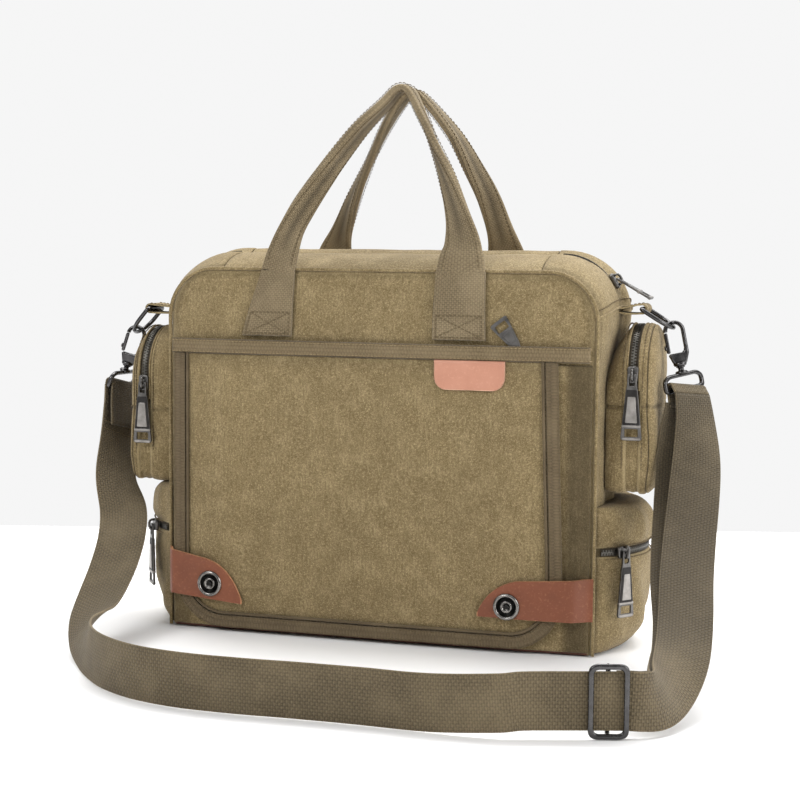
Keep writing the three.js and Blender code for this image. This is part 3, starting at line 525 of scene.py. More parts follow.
# ---- shell --------------------------------------------------------------------------------
HALF_WIDTH, HALF_DEPTH, SEAM_Z, RIDGE_RISE = 172.0, 57.0, 288.0, 12.0
CORNER_R, RIDGE_R = 38.0, 43.0
CORNER_X, CORNER_Z = HALF_WIDTH - CORNER_R, SEAM_Z - CORNER_R
RIDGE_Z = SEAM_Z + RIDGE_RISE - RIDGE_R
MOUTH_HALF = CORNER_X - 6


def puff(x, z):
    """How far the soft front stands out, in millimetres."""
    k = ease((HALF_WIDTH - abs(x)) / 60) * ease((SEAM_Z - z) / 40) * (0.55 + 0.45 * ease(z / 50))
    return k * (4.4 + 1.2 * lump((x, 0, z), 1 / 85, 1) + 0.5 * lump((x, 0, z), 1 / 28, 2))


def back_puff(x, z):
    return 2.4 * ease((HALF_WIDTH - abs(x)) / 60) * ease((SEAM_Z - z) / 50)


def tuck(z):
    """How far the front and back turn in under the bag, in millimetres."""
    return 5.5 * (1 - ease(z / 6.0))


def half_width(z):
    if z <= CORNER_Z:
        return HALF_WIDTH
    return CORNER_X + sqrt(max(0.0, CORNER_R ** 2 - (z - CORNER_Z) ** 2))


def spread(count, crowd=0.0):
    """Even steps from 0 to 1, with extra ones close to both ends."""
    inner = [i / count for i in range(1, count)]
    ends = [0.0, 0.006, 0.015, 0.03] if crowd else [0.0]
    inner = [t for t in inner if ends[-1] + 0.008 < t < 1 - ends[-1] - 0.008]
    return ends + inner + [1 - t for t in reversed(ends)]


def wall(name, side, node):
    """Front or back panel: soft, with edges that turn in to the seam."""
    rows, wears, shades = [], [], []
    zs = [z * SEAM_Z for z in spread(84, True)]
    for z in zs:
        line, line_wear, line_shade = [], [], []
        for t in spread(92, True):
            w = half_width(z) - 0.6
            x = (2 * t - 1) * w
            edge = min((1 - abs(2 * t - 1)) * w, SEAM_Z - z, z + 3)
            roll = 3.2 * (1 - min(1.0, edge / 7.0)) ** 2
            fold = 0.5 * lump((x, side * 40, z), 1 / 38, 3) * ease(edge / 12)
            if side < 0:
                out = HALF_DEPTH + puff(x, z) * 0.95 + fold * (1 if z > 222 else 0.2) - roll - tuck(z)
            else:
                out = HALF_DEPTH + back_puff(x, z) + fold * 2 - roll - tuck(z)
            line.append((x, side * out, z))
            line_wear.append(0.75 * (1 - min(1.0, edge / 3.2)) + 0.12 * max(0, lump((x, 5, z), 1 / 15, 4)))
            line_shade.append(0.35 * max(0.0, 1 - abs(edge - 5.5) / 2.4))
        rows.append(line)
        wears.append(line_wear)
        shades.append(line_shade)
    return slab(name, rows, 1.8, CANVAS, "bag", [node], lambda i, j: wears[i][j], lambda i, j: shades[i][j],
                toward=(0, side, 0))


wall("front_wall", -1, "front_panel")
wall("back_wall", 1, "back_panel")


def outline(count_side=46, count_arc=14):
    """Points up one side and over its corner: seam x, seam z, ridge x, ridge z, outward x and z."""
    stations = []
    for i in range(count_side):
        z = 1.0 + (CORNER_Z - 1.0) * i / count_side
        k = max(0.0, (z - 200) / (CORNER_Z - 200))
        stations.append((HALF_WIDTH, z, HALF_WIDTH + (RIDGE_R - CORNER_R) * ease(k),
                         z + (RIDGE_Z - CORNER_Z) * k, 1.0, 0.0))
    for i in range(count_arc + 1):
        a = pi / 2 * i / count_arc
        c, s = cos(a), sin(a)
        stations.append((CORNER_X + CORNER_R * c, CORNER_Z + CORNER_R * s, CORNER_X + RIDGE_R * c,
                         RIDGE_Z + RIDGE_R * s, c, s))
    stations.append((MOUTH_HALF + 0.3, SEAM_Z, MOUTH_HALF + 0.3, SEAM_Z + RIDGE_RISE, 0.0, 1.0))
    return stations


def crown(y):
    return 1 - (y / 55.5) ** 2


def swell(y):
    """The cloth stands up a little between the zip and the seam."""
    return ease((abs(y) - 3) / 13) * ease((55 - abs(y)) / 17)


def side_surface(side, station, y, lift=0.0):
    sx, sz, rx, rz, nx, nz = station
    k = crown(y)
    roll = 3.4 * (1 - min(1.0, (56 - abs(y)) / 7.0)) ** 2
    sag = (2.4 * k + 1.3 * sin(y / 6.5 + 2.2 * lump((side * 9, y, sz), 1 / 60, 5)) * ease(sz / 60)
           * ease((245 - sz) / 60) * ease((56 - abs(y)) / 16))
    sag += 0.9 * lump((side * 30, y, sz), 1 / 24, 6)
    lift += (5.0 if y > 0 else 1.6) * swell(y) * ease((sz - 212) / 40)
    limit = 5.0 if 110 < sz < 215 else 3.0
    out = min(limit, sag) * ease((296 - sz) / 30) - roll + lift
    return (side * (sx + (rx - sx) * k + nx * out), y, sz + (rz - sz) * k + nz * out)


STATIONS = outline()
SIDE_SEAM_Z = 254.0
SEAM_STATION = 48
for side_name, side in HANDS:
    ys = [-56 + 112 * t for t in spread(40, True)]
    rows = [[side_surface(side, s, y) for y in ys] for s in STATIONS]
    slab("side_wall_" + side_name, rows, 1.8, CANVAS_LIT_COPY, "bag", ["gusset_" + side_name],
         lambda i, j: 0.7 * (1 - min(1.0, (56 - abs(ys[j])) / 3.5)),
         lambda i, j: 0.4 * max(0.0, 1 - abs(56 - abs(ys[j]) - 6) / 3), toward=(side, 0, 0.01))

# the seam across the front half of each side wall, at the foot of the ring tab
for side_name, side in HANDS:
    turn = asin((SIDE_SEAM_Z - CORNER_Z) / CORNER_R)
    c, s = cos(turn), sin(turn)
    at_seam = (CORNER_X + CORNER_R * c, SIDE_SEAM_Z, CORNER_X + RIDGE_R * c, RIDGE_Z + RIDGE_R * s, c, s)
    tube("side_seam_" + side_name, [side_surface(side, at_seam, y, 0.3) for y in range(-55, 56, 3)], 1.0,
         CANVAS_LIT_COPY, "bag", sides=8)
    above = [side_surface(side, STATIONS[SEAM_STATION], y, 0.6) for y in range(-54, 55, 2)]
    stitches("side_seam_%s_stitches" % side_name, [above], THREAD_DARK, "bag", (side, 0, 0))

bottom_rows = [[(x, y * (1 - tuck(0) / 57) - (puff(x, 0) * 0.85 if y < -50 else 0.0),
                 1.4 - 1.2 * ease((HALF_WIDTH - abs(x)) / 8) * ease((56 - abs(y)) / 8))
                for x in [-171 + 342 * t for t in spread(20, True)]]
               for y in [-55.6 + 111.2 * t for t in spread(10, True)]]
slab("bottom_wall", bottom_rows, 1.6, CANVAS_LIT_COPY, "bag", ["bottom_panel"], toward=(0, 0, -1))

# welts along the seams between the panels and the side walls
for face_name, face in (("front", -1), ("back", 1)):
    path = [(-s[0] - 0.2, face * 55.8, s[1]) for s in STATIONS] + [(s[0] + 0.2, face * 55.8, s[1])
                                                                 for s in reversed(STATIONS)]
    tube("seam_welt_" + face_name, path, 1.5, CANVAS, "bag", sides=8)
    edge = [(x, face * 54.6 - (puff(x, 2) * 0.95 if face < 0 else 0.0), 2.6) for x in range(-168, 169, 8)]
    tube("bottom_piping_" + face_name, edge, 1.7, PIPING, "bag", sides=8)


def top_strip(name, face, body, node):
    rows = []
    xs = [-MOUTH_HALF + 2 * MOUTH_HALF * i / 64 for i in range(65)]
    ys = [0, 0.8, 2, 4, 8, 14, 20, 27, 34, 41, 46, 49, 50.6, 51.4]
    for x in xs:
        line = []
        for d in ys:
            y = 54.6 - d
            z = SEAM_Z + RIDGE_RISE * crown(y)
            z -= 1.6 * (1 - min(1.0, d / 6.0)) ** 2 + 0.9 * max(0.0, (d - 48) / 3.4) ** 2
            z += 0.8 * lump((x, face * y, 300), 1 / 30, 7) * ease(d / 8) * ease((51.4 - d) / 6)
            z += (5.0 if face > 0 else 1.6) * swell(y)
            line.append((x, face * y, z))
        rows.append(line)
    slab(name, rows, 1.8, CANVAS_LIT_COPY, body, [node], lambda i, j: 0.6 if j in (0, 1, len(ys) - 1) else 0.0,
         toward=(0, 0, 1))
    seam = [[(x, face * y, SEAM_Z + RIDGE_RISE * crown(y) + 0.15) for x in xs] for y in (8.5, 5.8)]
    stitches(name + "_stitches", seam, THREAD_DARK, body, (0, 0, 1))


top_strip("top_front", -1, "mouth_front", "top_strip_front")
top_strip("top_rear", 1, "mouth_rear", "top_strip_rear")


# ---- zips ---------------------------------------------------------------------------------
TOOTH_PITCH, TOOTH = 2.3, (1.15, 2.3, 1.3)


def zip_run(name, path, outward, across, body, replaces=(), half=4.0, only=None):
    """Tape along a path, with two rows of metal teeth that mesh in its middle.
    only keeps one row, for a zip whose halves move apart."""
    path = [Vector(p) for p in path]
    across, middle = Vector(across), path[len(path) // 2]
    low, high = {None: (-half, half), 1: (0.4, 13.6), -1: (-13.6, -0.4)}[only]
    rows = [[p + across * u for u in (low, low * 0.6 + high * 0.4, low * 0.4 + high * 0.6, high)]
            for p in path]
    slab(name + "_tape", rows, 1.0, TAPE, body, replaces, toward=at_point(outward, middle))
    parts = []
    for n, (p, ahead) in enumerate(resample(path, TOOTH_PITCH / 2)):
        row = 1 if n % 2 else -1
        if only is not None and row != only:
            continue
        out = at_point(outward, p)
        side = ahead.cross(out).normalized()
        if side.dot(across) < 0:
            side.negate()
        parts.append(box_part(p + side * row * 0.75 + out * 0.35, ahead, side, out, TOOTH))
    merged(name + "_teeth", parts, TEETH_METAL, body, flat=True)


xs = [-MOUTH_HALF + 2 * MOUTH_HALF * i / 24 for i in range(25)]
ridge_line = [(x, 0, SEAM_Z + RIDGE_RISE - 2.1) for x in xs]
zip_run("main_zip_front", ridge_line, (0, 0, 1), (0, 1, 0), "mouth_front", ["main_zip_front"], only=-1)
zip_run("main_zip_rear", ridge_line, (0, 0, 1), (0, 1, 0), "mouth_rear", ["main_zip_rear"], only=1)
for side_name, side, low in (("left", -1, 24), ("right", 1, 22)):
    angles = [radians(90 - (90 - low) * i / 22) for i in range(23)]
    arc = [(side * (CORNER_X + (RIDGE_R + 0.9) * cos(a)), 0, RIDGE_Z + (RIDGE_R + 0.9) * sin(a))
           for a in angles]

    def out_from(p, centre=Vector((side * CORNER_X, 0, RIDGE_Z))):
        return (Vector(p) - centre).normalized()

    zip_run("main_zip_end_" + side_name, arc, out_from, (0, 1, 0), "bag", half=4.6)
    for y in (-7.6, 7.6):
        row = [Vector(p) + out_from(p) * -0.4 + Vector((0, y, 0)) for p in arc]
        stitches("zip_end_stitches_%s_%s" % (side_name, "a" if y < 0 else "b"), [row], THREAD_DARK, "bag",
                 out_from)

PULL_LENGTH, PULL_AXIS = 49.0, 4.5


def pull_outline(length):
    end = -length
    outer = rounded([(-3.4, 1), (-3.9, -9), (-4.6, -12), (-8, end + 1.5), (-6.8, end), (6.8, end),
                     (8, end + 1.5), (4.6, -12), (3.9, -9), (3.4, 1)], 1.1)
    eye = rounded(rectangle(-2.2, -8, 2.2, -0.9), 1.2)
    slot = rounded(rectangle(-5, end + 2.8, 5, end + 8.8), 1.0)
    return [outer, eye, slot]


def zip_hardware(prefix, nodes, at, up, out, size, lift, slider_body, pull_body, length=PULL_LENGTH):
    """A slider on its zip, with the bridge that its pull hangs from."""
    matrix = local_matrix(at, up, out)
    base = rounded([(-size[0] / 2, size[1] / 2), (size[0] / 2, size[1] / 2),
                    (size[0] / 2 - 1, -size[1] / 2), (1 - size[0] / 2, -size[1] / 2)], 2.4)
    plate(prefix + "_slider", [base], 3.0, 0.7, matrix @ Matrix.Translation((0, 0, 1.5)), PULL_METAL,
          slider_body, [nodes + "_slider"])
    bridge = [matrix @ Vector((0, v, w)) for v, w in ((-3.9, 2.4), (-4.0, 4.6), (-3.2, 6.2), (-1.4, 6.9),
                                                      (1.4, 6.9), (3.2, 6.2), (4.0, 4.6), (3.9, 2.4))]
    tube(prefix + "_bridge", bridge, 1.0, PULL_METAL, slider_body, sides=10)
    up, out = Vector(up).normalized(), Vector(out).normalized()
    turn = Matrix.Rotation(-lift, 3, up.cross(out).normalized())
    axis = Vector(at) + out * PULL_AXIS
    placed = local_matrix(axis, turn @ up, turn @ out)
    plate(prefix + "_pull", pull_outline(length), 1.8, 0.4, placed, PULL_METAL, pull_body,
          [nodes + "_pull"])
    # a bright panel that stands out of a dark face, then a bar above the slot
    top, end = -12.5, -length + 11.5
    ledge = (-end - 12.0) / (length - 12.0)
    low_half, high_half = 4.6 + 3.4 * ledge - 2.0, 3.1
    for face, side_name in ((-1, "back"), (1, "front")):
        turned_face = placed @ Matrix.Translation((0, 0, face * 1.0))
        if length > 40:
            blank = rounded(trapezium(top + 1.5, high_half + 0.8, end, low_half + 1.5), 1.0)
            plate("%s_pull_face_%s" % (prefix, side_name), [blank], 0.7, 0.2, turned_face, DARK_PULL,
                  pull_body)
            panel = rounded(trapezium(top - 3.5, high_half - 0.2, end + 1.8, low_half - 0.4), 0.8)
            plate("%s_pull_panel_%s" % (prefix, side_name), [panel], 1.5, 0.35, turned_face, PULL_BRIGHT,
                  pull_body)
    band_half = 4.6 + 3.4 * (-end - 10.0) / (length - 11.0) + 0.1
    plate(prefix + "_pull_band", [rounded(rectangle(-band_half, end - 1.6, band_half, end + 0.2), 0.5)],
          2.7, 0.35, placed, PULL_BRIGHT, pull_body)
    plate(prefix + "_pull_lip", [rounded(rectangle(-6.9, -length + 0.3, 6.9, -length + 2.2), 0.6)], 2.5,
          0.4, placed, PULL_BRIGHT, pull_body)


ridge_angle = radians(31)
ridge_out = Vector((cos(ridge_angle), 0, sin(ridge_angle)))
ridge_up = Vector((-sin(ridge_angle), 0, cos(ridge_angle)))
zip_hardware("main_zip", "main_zip", Vector((CORNER_X, 0, RIDGE_Z)) + ridge_out * (RIDGE_R + 2.3), ridge_up,
             ridge_out, (9.5, 12.5), radians(30), "main_slider", "main_pull", 30.0)


# ---- front: band, pocket panel, flap ------------------------------------------------------
BAND_HALF, BAND_BOTTOM, BAND_TOP = HALF_WIDTH - 4, 221.0, 233.0


def front_sheet(name, xs, zs, layer, thickness, material, body, node=None, extra=None, uvs=None, wear=None,
                shade=None):
    """A sheet on the front face; xs(z) gives the x values of a row."""
    rows = [[(x, -layer - puff(x, z) - (extra(x, z) if extra else 0.0), z) for x in xs(z)] for z in zs]
    return slab(name, rows, thickness, material, body, [node] if node else (), wear, shade,
                toward=(0, -1, 0), uvs=(lambda i, j: uvs(rows[i][j])) if uvs else None)


band_xs = [-BAND_HALF + 2 * BAND_HALF * i / 120 for i in range(121)]
band_zs = [BAND_BOTTOM, BAND_BOTTOM + 0.5, BAND_BOTTOM + 1.3, BAND_BOTTOM + 4, 227, 230, BAND_TOP - 1.3,
           BAND_TOP - 0.5, BAND_TOP]
front_sheet("front_band", lambda z: band_xs, band_zs, 62.6, 1.9, BAND, "bag", "front_band",
            extra=lambda x, z: 0.35 * lump((x, 1, 0), 1 / 30, 8) + 0.5 * (1 - abs(z - 227) / 6),
            uvs=lambda p: (p[2], p[0]), wear=lambda i, j: 0.5 if i in (0, 8) else 0.0)
for n, z in enumerate((BAND_BOTTOM + 1.7, BAND_TOP - 1.7)):
    row = [(x, -62.7 - puff(x, z) - 0.35 * lump((x, 1, 0), 1 / 30, 8) - 0.3, z) for x in band_xs]
    stitches("band_stitches_%d" % n, [row], THREAD, "bag", (0, -1, 0))


def pocket_extra(x, z):
    fold = 1.1 * exp(-((x - 157 - 3 * sin(z / 38)) / 4.5) ** 2) if x > 140 else 0.0
    return fold * ease((200 - z) / 60) * ease(z / 40) - 0.6 * ease((abs(x) - 160) / 9)


def pocket_shade(x):
    """Dark beyond the flap's left edge and on the strip at its right."""
    return 0.45 * ease((-152 - x) / 4) + 0.8 * ease((x - 147) / 7) * ease((176 - x) / 9)


pocket_xs = [-169 + 338 * t for t in spread(96, True)]
front_sheet("front_pocket_panel", lambda z: pocket_xs, [3.2 + 216 * t for t in spread(60, True)], 58.9, 1.3,
            CANVAS, "bag", "front_pocket", extra=pocket_extra,
            shade=lambda i, j: pocket_shade(pocket_xs[j]))

FLAP = {"left": -166.0, "right": 151.0, "lean": 6.0, "bottom": 3.4, "top": 221.5, "corner": 42.0}


def flap_span(z, inset):
    r = FLAP["corner"] - inset
    low = FLAP["bottom"] + inset
    cut = 0.0
    if z < low + r:
        cut = r - sqrt(max(0.0, r * r - (low + r - z) ** 2))
    lean = FLAP["lean"] * max(0.0, (z - low - r) / (FLAP["top"] - low - r))
    return FLAP["left"] + inset + cut, FLAP["right"] - inset - cut - lean


def flap_extra(x, z):
    left, right = FLAP["left"] + 12, FLAP["right"] - 12
    edge = min(x - left, right - x, z - FLAP["bottom"] - 12, (216 - z) * 1.6)
    k = ease(edge / 34)
    dents = 0.8 * lump((x, 2, z), 1 / 55, 9) + 0.35 * lump((x, 2, z), 1 / 20, 10)
    return k * (1.5 + dents) - 0.7 * ease((6 - edge) / 6) * ease((212 - z) / 8)


def flap_xs(z):
    left, right = flap_span(z, 9.6)
    return [left + (right - left) * t for t in spread(100, True)]


flap_zs = [FLAP["bottom"] + 9.6 + (FLAP["top"] - FLAP["bottom"] - 9.6) * t ** 1.25
           for t in spread(70, True)]
front_sheet("flap", flap_xs, flap_zs, 61.6, 2.2, CANVAS, "flap", "flap_panel", extra=flap_extra,
            shade=lambda i, j: 0.25 * ease((i - len(flap_zs) + 6) / 4))


def flap_path(inset, steps=16):
    r = FLAP["corner"] - inset
    left, right, low = FLAP["left"] + inset, FLAP["right"] - inset, FLAP["bottom"] + inset
    path = [(left, FLAP["top"] + (low + r - FLAP["top"]) * i / 30) for i in range(30)]
    path += [(left + r + r * cos(pi * (1 + i / steps / 2)), low + r + r * sin(pi * (1 + i / steps / 2)))
             for i in range(steps + 1)]
    path += [(left + r + (right - left - 2 * r) * i / 40, low) for i in range(1, 40)]
    path += [(right - r + r * cos(pi * (1.5 + i / steps / 2)),
              low + r + r * sin(pi * (1.5 + i / steps / 2))) for i in range(steps + 1)]
    path += [(right - FLAP["lean"] * i / 30, low + r + (FLAP["top"] - low - r) * i / 30)
             for i in range(1, 31)]
    return path


def flap_front(x, z):
    return 61.9 + puff(x, z)


insets = [0, 0.5, 1.3, 2.8, 5.2, 7.7, 9.2, 10.1, 10.6]
paths = [flap_path(i) for i in insets]
bind_rows = [[(paths[j][n][0], -flap_front(*paths[j][n]) - 0.9
               - 0.8 * sin(pi * insets[j] / insets[-1]) ** 0.6
               - 0.3 * lump((paths[j][n][0], 3, paths[j][n][1]), 1 / 22, 11), paths[j][n][1])
              for j in range(len(insets))] for n in range(len(paths[0]))]
lengths = [0.0]
for a, b in zip(paths[4], paths[4][1:]):
    lengths.append(lengths[-1] + dist(a, b))
slab("flap_binding", bind_rows, 3.0, BINDING, "flap", ["flap_binding"],
     lambda i, j: 0.55 if j in (0, 1, len(insets) - 1) else 0.0, toward=(0, -1, 0),
     uvs=lambda i, j: (insets[j], lengths[i]))
for n, inset in enumerate((1.5, 9.0)):
    row = [(x, -flap_front(x, z) - 1.35, z) for x, z in flap_path(inset)]
    stitches("flap_stitches_%d" % n, [row], THREAD_DARK, "flap", (0, -1, 0))
cord_line = [(x, -flap_front(x, z) - 0.9, z) for x, z in flap_path(11.9)]
tube("flap_welt", cord_line, 1.15, BINDING, "flap", sides=8)


TAG_LEFT, TAG_WIDTH, TAG_LOW, TAG_R = 50, 55, 199.0, 10.0


def tag_xs(z):
    cut = 0.0
    if z < TAG_LOW + TAG_R:
        cut = TAG_R - sqrt(max(0.0, TAG_R * TAG_R - (TAG_LOW + TAG_R - z) ** 2))
    return [TAG_LEFT + cut + (TAG_WIDTH - 2 * cut) * t for t in spread(18, True)]


tag_zs = [TAG_LOW, 199.3, 199.8, 200.6, 202, 204, 207, 210, 214, 218, 221.4]
front_sheet("leather_tag", tag_xs, tag_zs, 64.2, 1.7, TAG, "flap", "leather_tag",
            extra=lambda x, z: 1.2 * ease((215 - z) / 16) + 0.25 * sin(x / 9),
            wear=lambda i, j: 1.0 if i < 2 or j < 2 or j > len(tag_xs(210)) - 3 else 0.0)

# leather tabs: x of root, shoulder and tip, top z at root and shoulder, bottom z at root and tip,
# snap centre
TABS = {"left": (-172.5, -137.0, -105.0, (65.0, 59.0), (29.0, 24.0), (-132.5, 39.0)),
        "right": (172.5, 117.0, 85.0, (60.0, 57.0), (27.0, 28.0), (109.0, 37.0))}


def tab_out(root, x, z):
    """The tab lies over the flap's edge and turns back into the side seam."""
    run = abs(x - root)
    turn = 5.6 if root < 0 else 17.0
    return 66.3 + puff(x, z) * 0.9 + 0.9 * sin(run / 30) - 8.5 * (1 - ease(run / turn))


def leather_tab(name, root, shoulder, tip, top, bottom, snap):
    curve = [(shoulder, top[1])]
    for i in range(1, 41):
        q = i / 40
        cx, cz = (shoulder + 3 * tip) / 4, top[1] - 5
        curve.append(((1 - q) ** 2 * shoulder + 2 * q * (1 - q) * cx + q * q * tip,
                      (1 - q) ** 2 * top[1] + 2 * q * (1 - q) * cz + q * q * bottom[1]))
    rows = []
    for s in spread(36, True):
        s *= 0.992
        x = root + (tip - root) * s
        if abs(x - root) <= abs(shoulder - root):
            high = top[0] + (top[1] - top[0]) * (x - root) / (shoulder - root)
        else:
            a, b = next((a, b) for a, b in zip(curve, curve[1:]) if min(a[0], b[0]) <= x <= max(a[0], b[0]))
            high = a[1] + (b[1] - a[1]) * (x - a[0]) / (b[0] - a[0])
        low = bottom[0] + (bottom[1] - bottom[0]) * s
        rows.append([(x, -tab_out(root, x, low + (high - low) * t), low + (high - low) * t)
                     for t in spread(12, True)])
    count = len(rows[0])
    slab("leather_tab_" + name, rows, 2.0, LEATHER, "tab_" + name, ["leather_tab_" + name],
         lambda i, j: 1.0 if i > len(rows) - 3 or j < 2 or j > count - 3 else 0.0, toward=(0, -1, 0),
         edge=0.2)
    # snap cap: rings turned about the snap's axis, each as (radius, height above the leather)
    face = tab_out(root, *snap) + 0.05
    cap = [(10.2, 0.0), (10.3, 0.8), (9.9, 1.7), (9.1, 2.2), (8.2, 2.1), (7.6, 1.5), (7.4, 0.7)]
    parts = (("cap", SNAP_METAL, cap),
             ("dish", DARK_METAL, [(7.5, 0.8), (6.6, 0.5), (5.2, 0.45), (4.4, 0.8)]),
             ("socket", SNAP_METAL, [(4.6, 0.6), (4.5, 1.4), (3.9, 1.8), (3.2, 1.5), (2.9, 0.8)]),
             ("eye", DARK_METAL, [(3.0, 0.8), (1.7, 0.6), (1.5, 1.1), (0.9, 1.4), (0.2, 1.45)]))
    for part, material, profile in parts:
        rings = [[(snap[0] + r * c, -face - h, snap[1] + r * s) for c, s in circle(40)]
                 for r, h in profile]
        loft("snap_%s_%s" % (part, name), rings, material, "tab_" + name,
             ["snap_cap_" + name] if part == "cap" else (), capped=part != "cap")


for name, values in TABS.items():
    leather_tab(name, *values)
    stud_x, stud_z = values[-1]
    stud_y = -flap_front(stud_x, stud_z) - 0.4
    profile = [(6.0, 0.2), (6.0, -0.6), (5.4, -1.0), (3.2, -1.1), (2.7, -1.5), (2.6, -2.2), (1.8, -2.6),
               (0.3, -2.7)]
    rings = [[(stud_x + r * c, stud_y + h, stud_z + r * s) for c, s in circle(32)]
             for r, h in profile]
    loft("snap_stud_post_" + name, rings, SNAP_METAL, "flap", ["snap_stud_" + name])

# pull of the hidden zip, above the band
tilt = radians(38)
hidden = local_matrix((113, -58.6 - puff(105, 242), 231.5), (-sin(tilt), 0, cos(tilt)), (0, -1, 0))
end = 25  # length of the pull from its axis
blank = [(-2, -2.4), (2, -2.4), (4.2, 4), (7.6, end - 1), (6.6, end), (-6.6, end), (-7.6, end - 1),
         (-4.2, 4)]
slot = rounded(rectangle(-4.8, end - 8.6, 4.8, end - 2.6), 0.9)
plate("front_zip_pull", [rounded(blank, 0.9), slot], 1.7, 0.4, hidden, PULL_METAL, "front_pull",
      ["front_zip_pull"])
rim = [rounded(trapezium(5, 3.9, end - 10.5, 5.3), 0.9), rounded(trapezium(6.4, 2.6, end - 11.8, 3.8), 0.7)]
plate("front_zip_pull_frame", rim, 0.8, 0.2, hidden @ Matrix.Translation((0, 0, 1.0)), PULL_METAL,
      "front_pull")


# ---- smooth curves ------------------------------------------------------------------------
def catmull(rows, steps):
    """Uniform Catmull-Rom through rows of numbers, steps samples for each span."""
    out = []
    last = len(rows) - 1
    for i in range(last):
        a, b, c, d = rows[max(i - 1, 0)], rows[i], rows[i + 1], rows[min(i + 2, last)]
        if i == 0:
            a = [2 * p - q for p, q in zip(b, c)]
        if i == last - 1:
            d = [2 * p - q for p, q in zip(c, b)]
        for k in range(steps):
            t = k / steps
            out.append([0.5 * (2 * q + (r - p) * t + (2 * p - 5 * q + 4 * r - s) * t * t
                               + (3 * q - p - 3 * r + s) * t ** 3) for p, q, r, s in zip(a, b, c, d)])
    out.append(list(rows[-1]))
    return out


def run_lengths(path):
    lengths = [0.0]
    for a, b in zip(path, path[1:]):
        lengths.append(lengths[-1] + (Vector(b) - Vector(a)).length)
    return lengths


# ---- carry handles ------------------------------------------------------------------------
# x, distance from the middle plane, z, half width, half thickness, turn
FRONT_HANDLE = [
    [-79.3, 59.5, 285.4, 14, 1.1, 0], [-76, 57.8, 300, 12.5, 2, 0.05], [-70, 52.5, 320, 10, 3.2, 0.3],
    [-59.5, 45, 342, 10, 3.6, 0.5], [-43, 36, 369, 10, 3.8, 0.65], [-23.5, 26.5, 397, 10, 3.8, 0.8],
    [-6, 17.5, 417, 10, 3.6, 0.95], [4, 12.2, 428.5, 9.8, 3.4, 1], [13, 12.4, 426.5, 9.6, 3.4, 1],
    [24, 18.5, 408, 9.6, 3.6, 0.9], [39, 29, 380, 9.6, 3.6, 0.7], [51, 38, 356, 9.6, 3.6, 0.5],
    [61, 47, 331, 10.5, 3, 0.3], [66.5, 53, 311, 14, 2.2, 0.1], [67.5, 57.6, 298, 17.5, 1.6, 0],
    [67.5, 59.5, 285.4, 19.5, 1.1, 0]]
REAR_HANDLE = [
    [-74, 59.5, 285.4, 19, 1.1, 0], [-72.5, 57.4, 299, 15.5, 1.6, 0.05], [-65, 51, 318, 10.5, 3, 0.3],
    [-54, 43, 341, 9.6, 3.6, 0.5], [-41, 35, 364, 9.6, 3.6, 0.65], [-20, 23, 399, 9.6, 3.6, 0.85],
    [-2, 13.5, 422, 9.6, 3.4, 1], [8, 12.2, 427.5, 9.6, 3.4, 1], [18, 13, 422, 9.6, 3.4, 1],
    [39, 24, 395, 9.6, 3.6, 0.8], [53, 33, 368, 9.6, 3.8, 0.6], [63, 41, 346, 9.6, 3.8, 0.45],
    [71, 50, 319, 11, 3, 0.2], [74.5, 57.4, 299, 16, 1.6, 0], [75.5, 59.5, 285.4, 19, 1.1, 0]]


def handle(name, stations, side, body, node):
    """Webbing that is folded lengthwise to be held, and opens out flat at its ends."""
    dense = catmull(stations, 8)
    path = [Vector((s[0], side * s[1], s[2])) for s in dense]
    lengths = run_lengths(path)
    rings, lines = [], ([], [])
    for i, (s, p) in enumerate(zip(dense, path)):
        ahead = along_path(path, i)
        facing = 1 if i < len(path) / 2 else -1
        turn = max(0.0, min(1.0, s[5]))
        wide = Vector(((1 - turn) * facing, turn * -side, 0))
        wide = (wide - ahead * wide.dot(ahead)).normalized()
        thin = ahead.cross(wide)
        fold = ease((s[4] - 1.4) / 1.8)
        ring = []
        for c, d in circle(36):
            u = copysign(abs(c) ** 0.55, c) * s[3]
            w = copysign(abs(d) ** 0.55, d) * s[4]
            groove = exp(-(u / 1.1) ** 2) * 1.7 * fold
            crown_in = (1 - (u / s[3]) ** 2) * 0.5 * fold
            w -= copysign(groove - crown_in, w) if abs(w) > s[4] * 0.4 else 0
            ring.append(p + wide * u + thin * (w + 0.25 * lump(p, 1 / 16, 12)))
        rings.append(ring)
        for line, face in zip(lines, (-1, 1)):
            line.append((p + wide * face * s[3] * 0.74 + thin * (s[4] + 0.1 + 0.2 * fold), thin.copy()))
    around = [0.0]
    for a, b in zip(rings[0], rings[0][1:]):
        around.append(around[-1] + (b - a).length)
    loft(name, rings, HANDLE, body, [node], uvs=lambda i, j: (around[j], lengths[i]),
                 wear=lambda i, j: 0.35 * ease((dense[i][2] - 395) / 20),
                 shade=lambda i, j: 0.7 * exp(-((j % 18 - 9) / 0.8) ** 2) * ease((dense[i][4] - 1.6) / 1.5))
    for n, line in enumerate(lines):
        for face in (1, -1):
            points = [p - out * (0 if face > 0 else 2 * (dense[k][4] + 0.1))
                      for k, (p, out) in enumerate(line)]
            parts = []
            for p, ahead in resample(points[4:-4], 3.4):
                near = min(range(len(points)), key=lambda k: (points[k] - p).length)
                out = line[near][1] * face
                row = [p - ahead * 1.2 - out * 0.5, p - ahead * 0.5 + out * 0.1,
                       p + ahead * 0.5 + out * 0.1, p + ahead * 1.2 - out * 0.5]
                parts.append(tube_mesh(row, 0.36, 5))
            merged("%s_stitches_%d_%s" % (name, n, "out" if face > 0 else "in"), parts, THREAD_DARK, body)


handle("carry_handle_front", FRONT_HANDLE, -1, "front_handle", "handle_front")
handle("carry_handle_rear", REAR_HANDLE, 1, "rear_handle", "handle_rear")

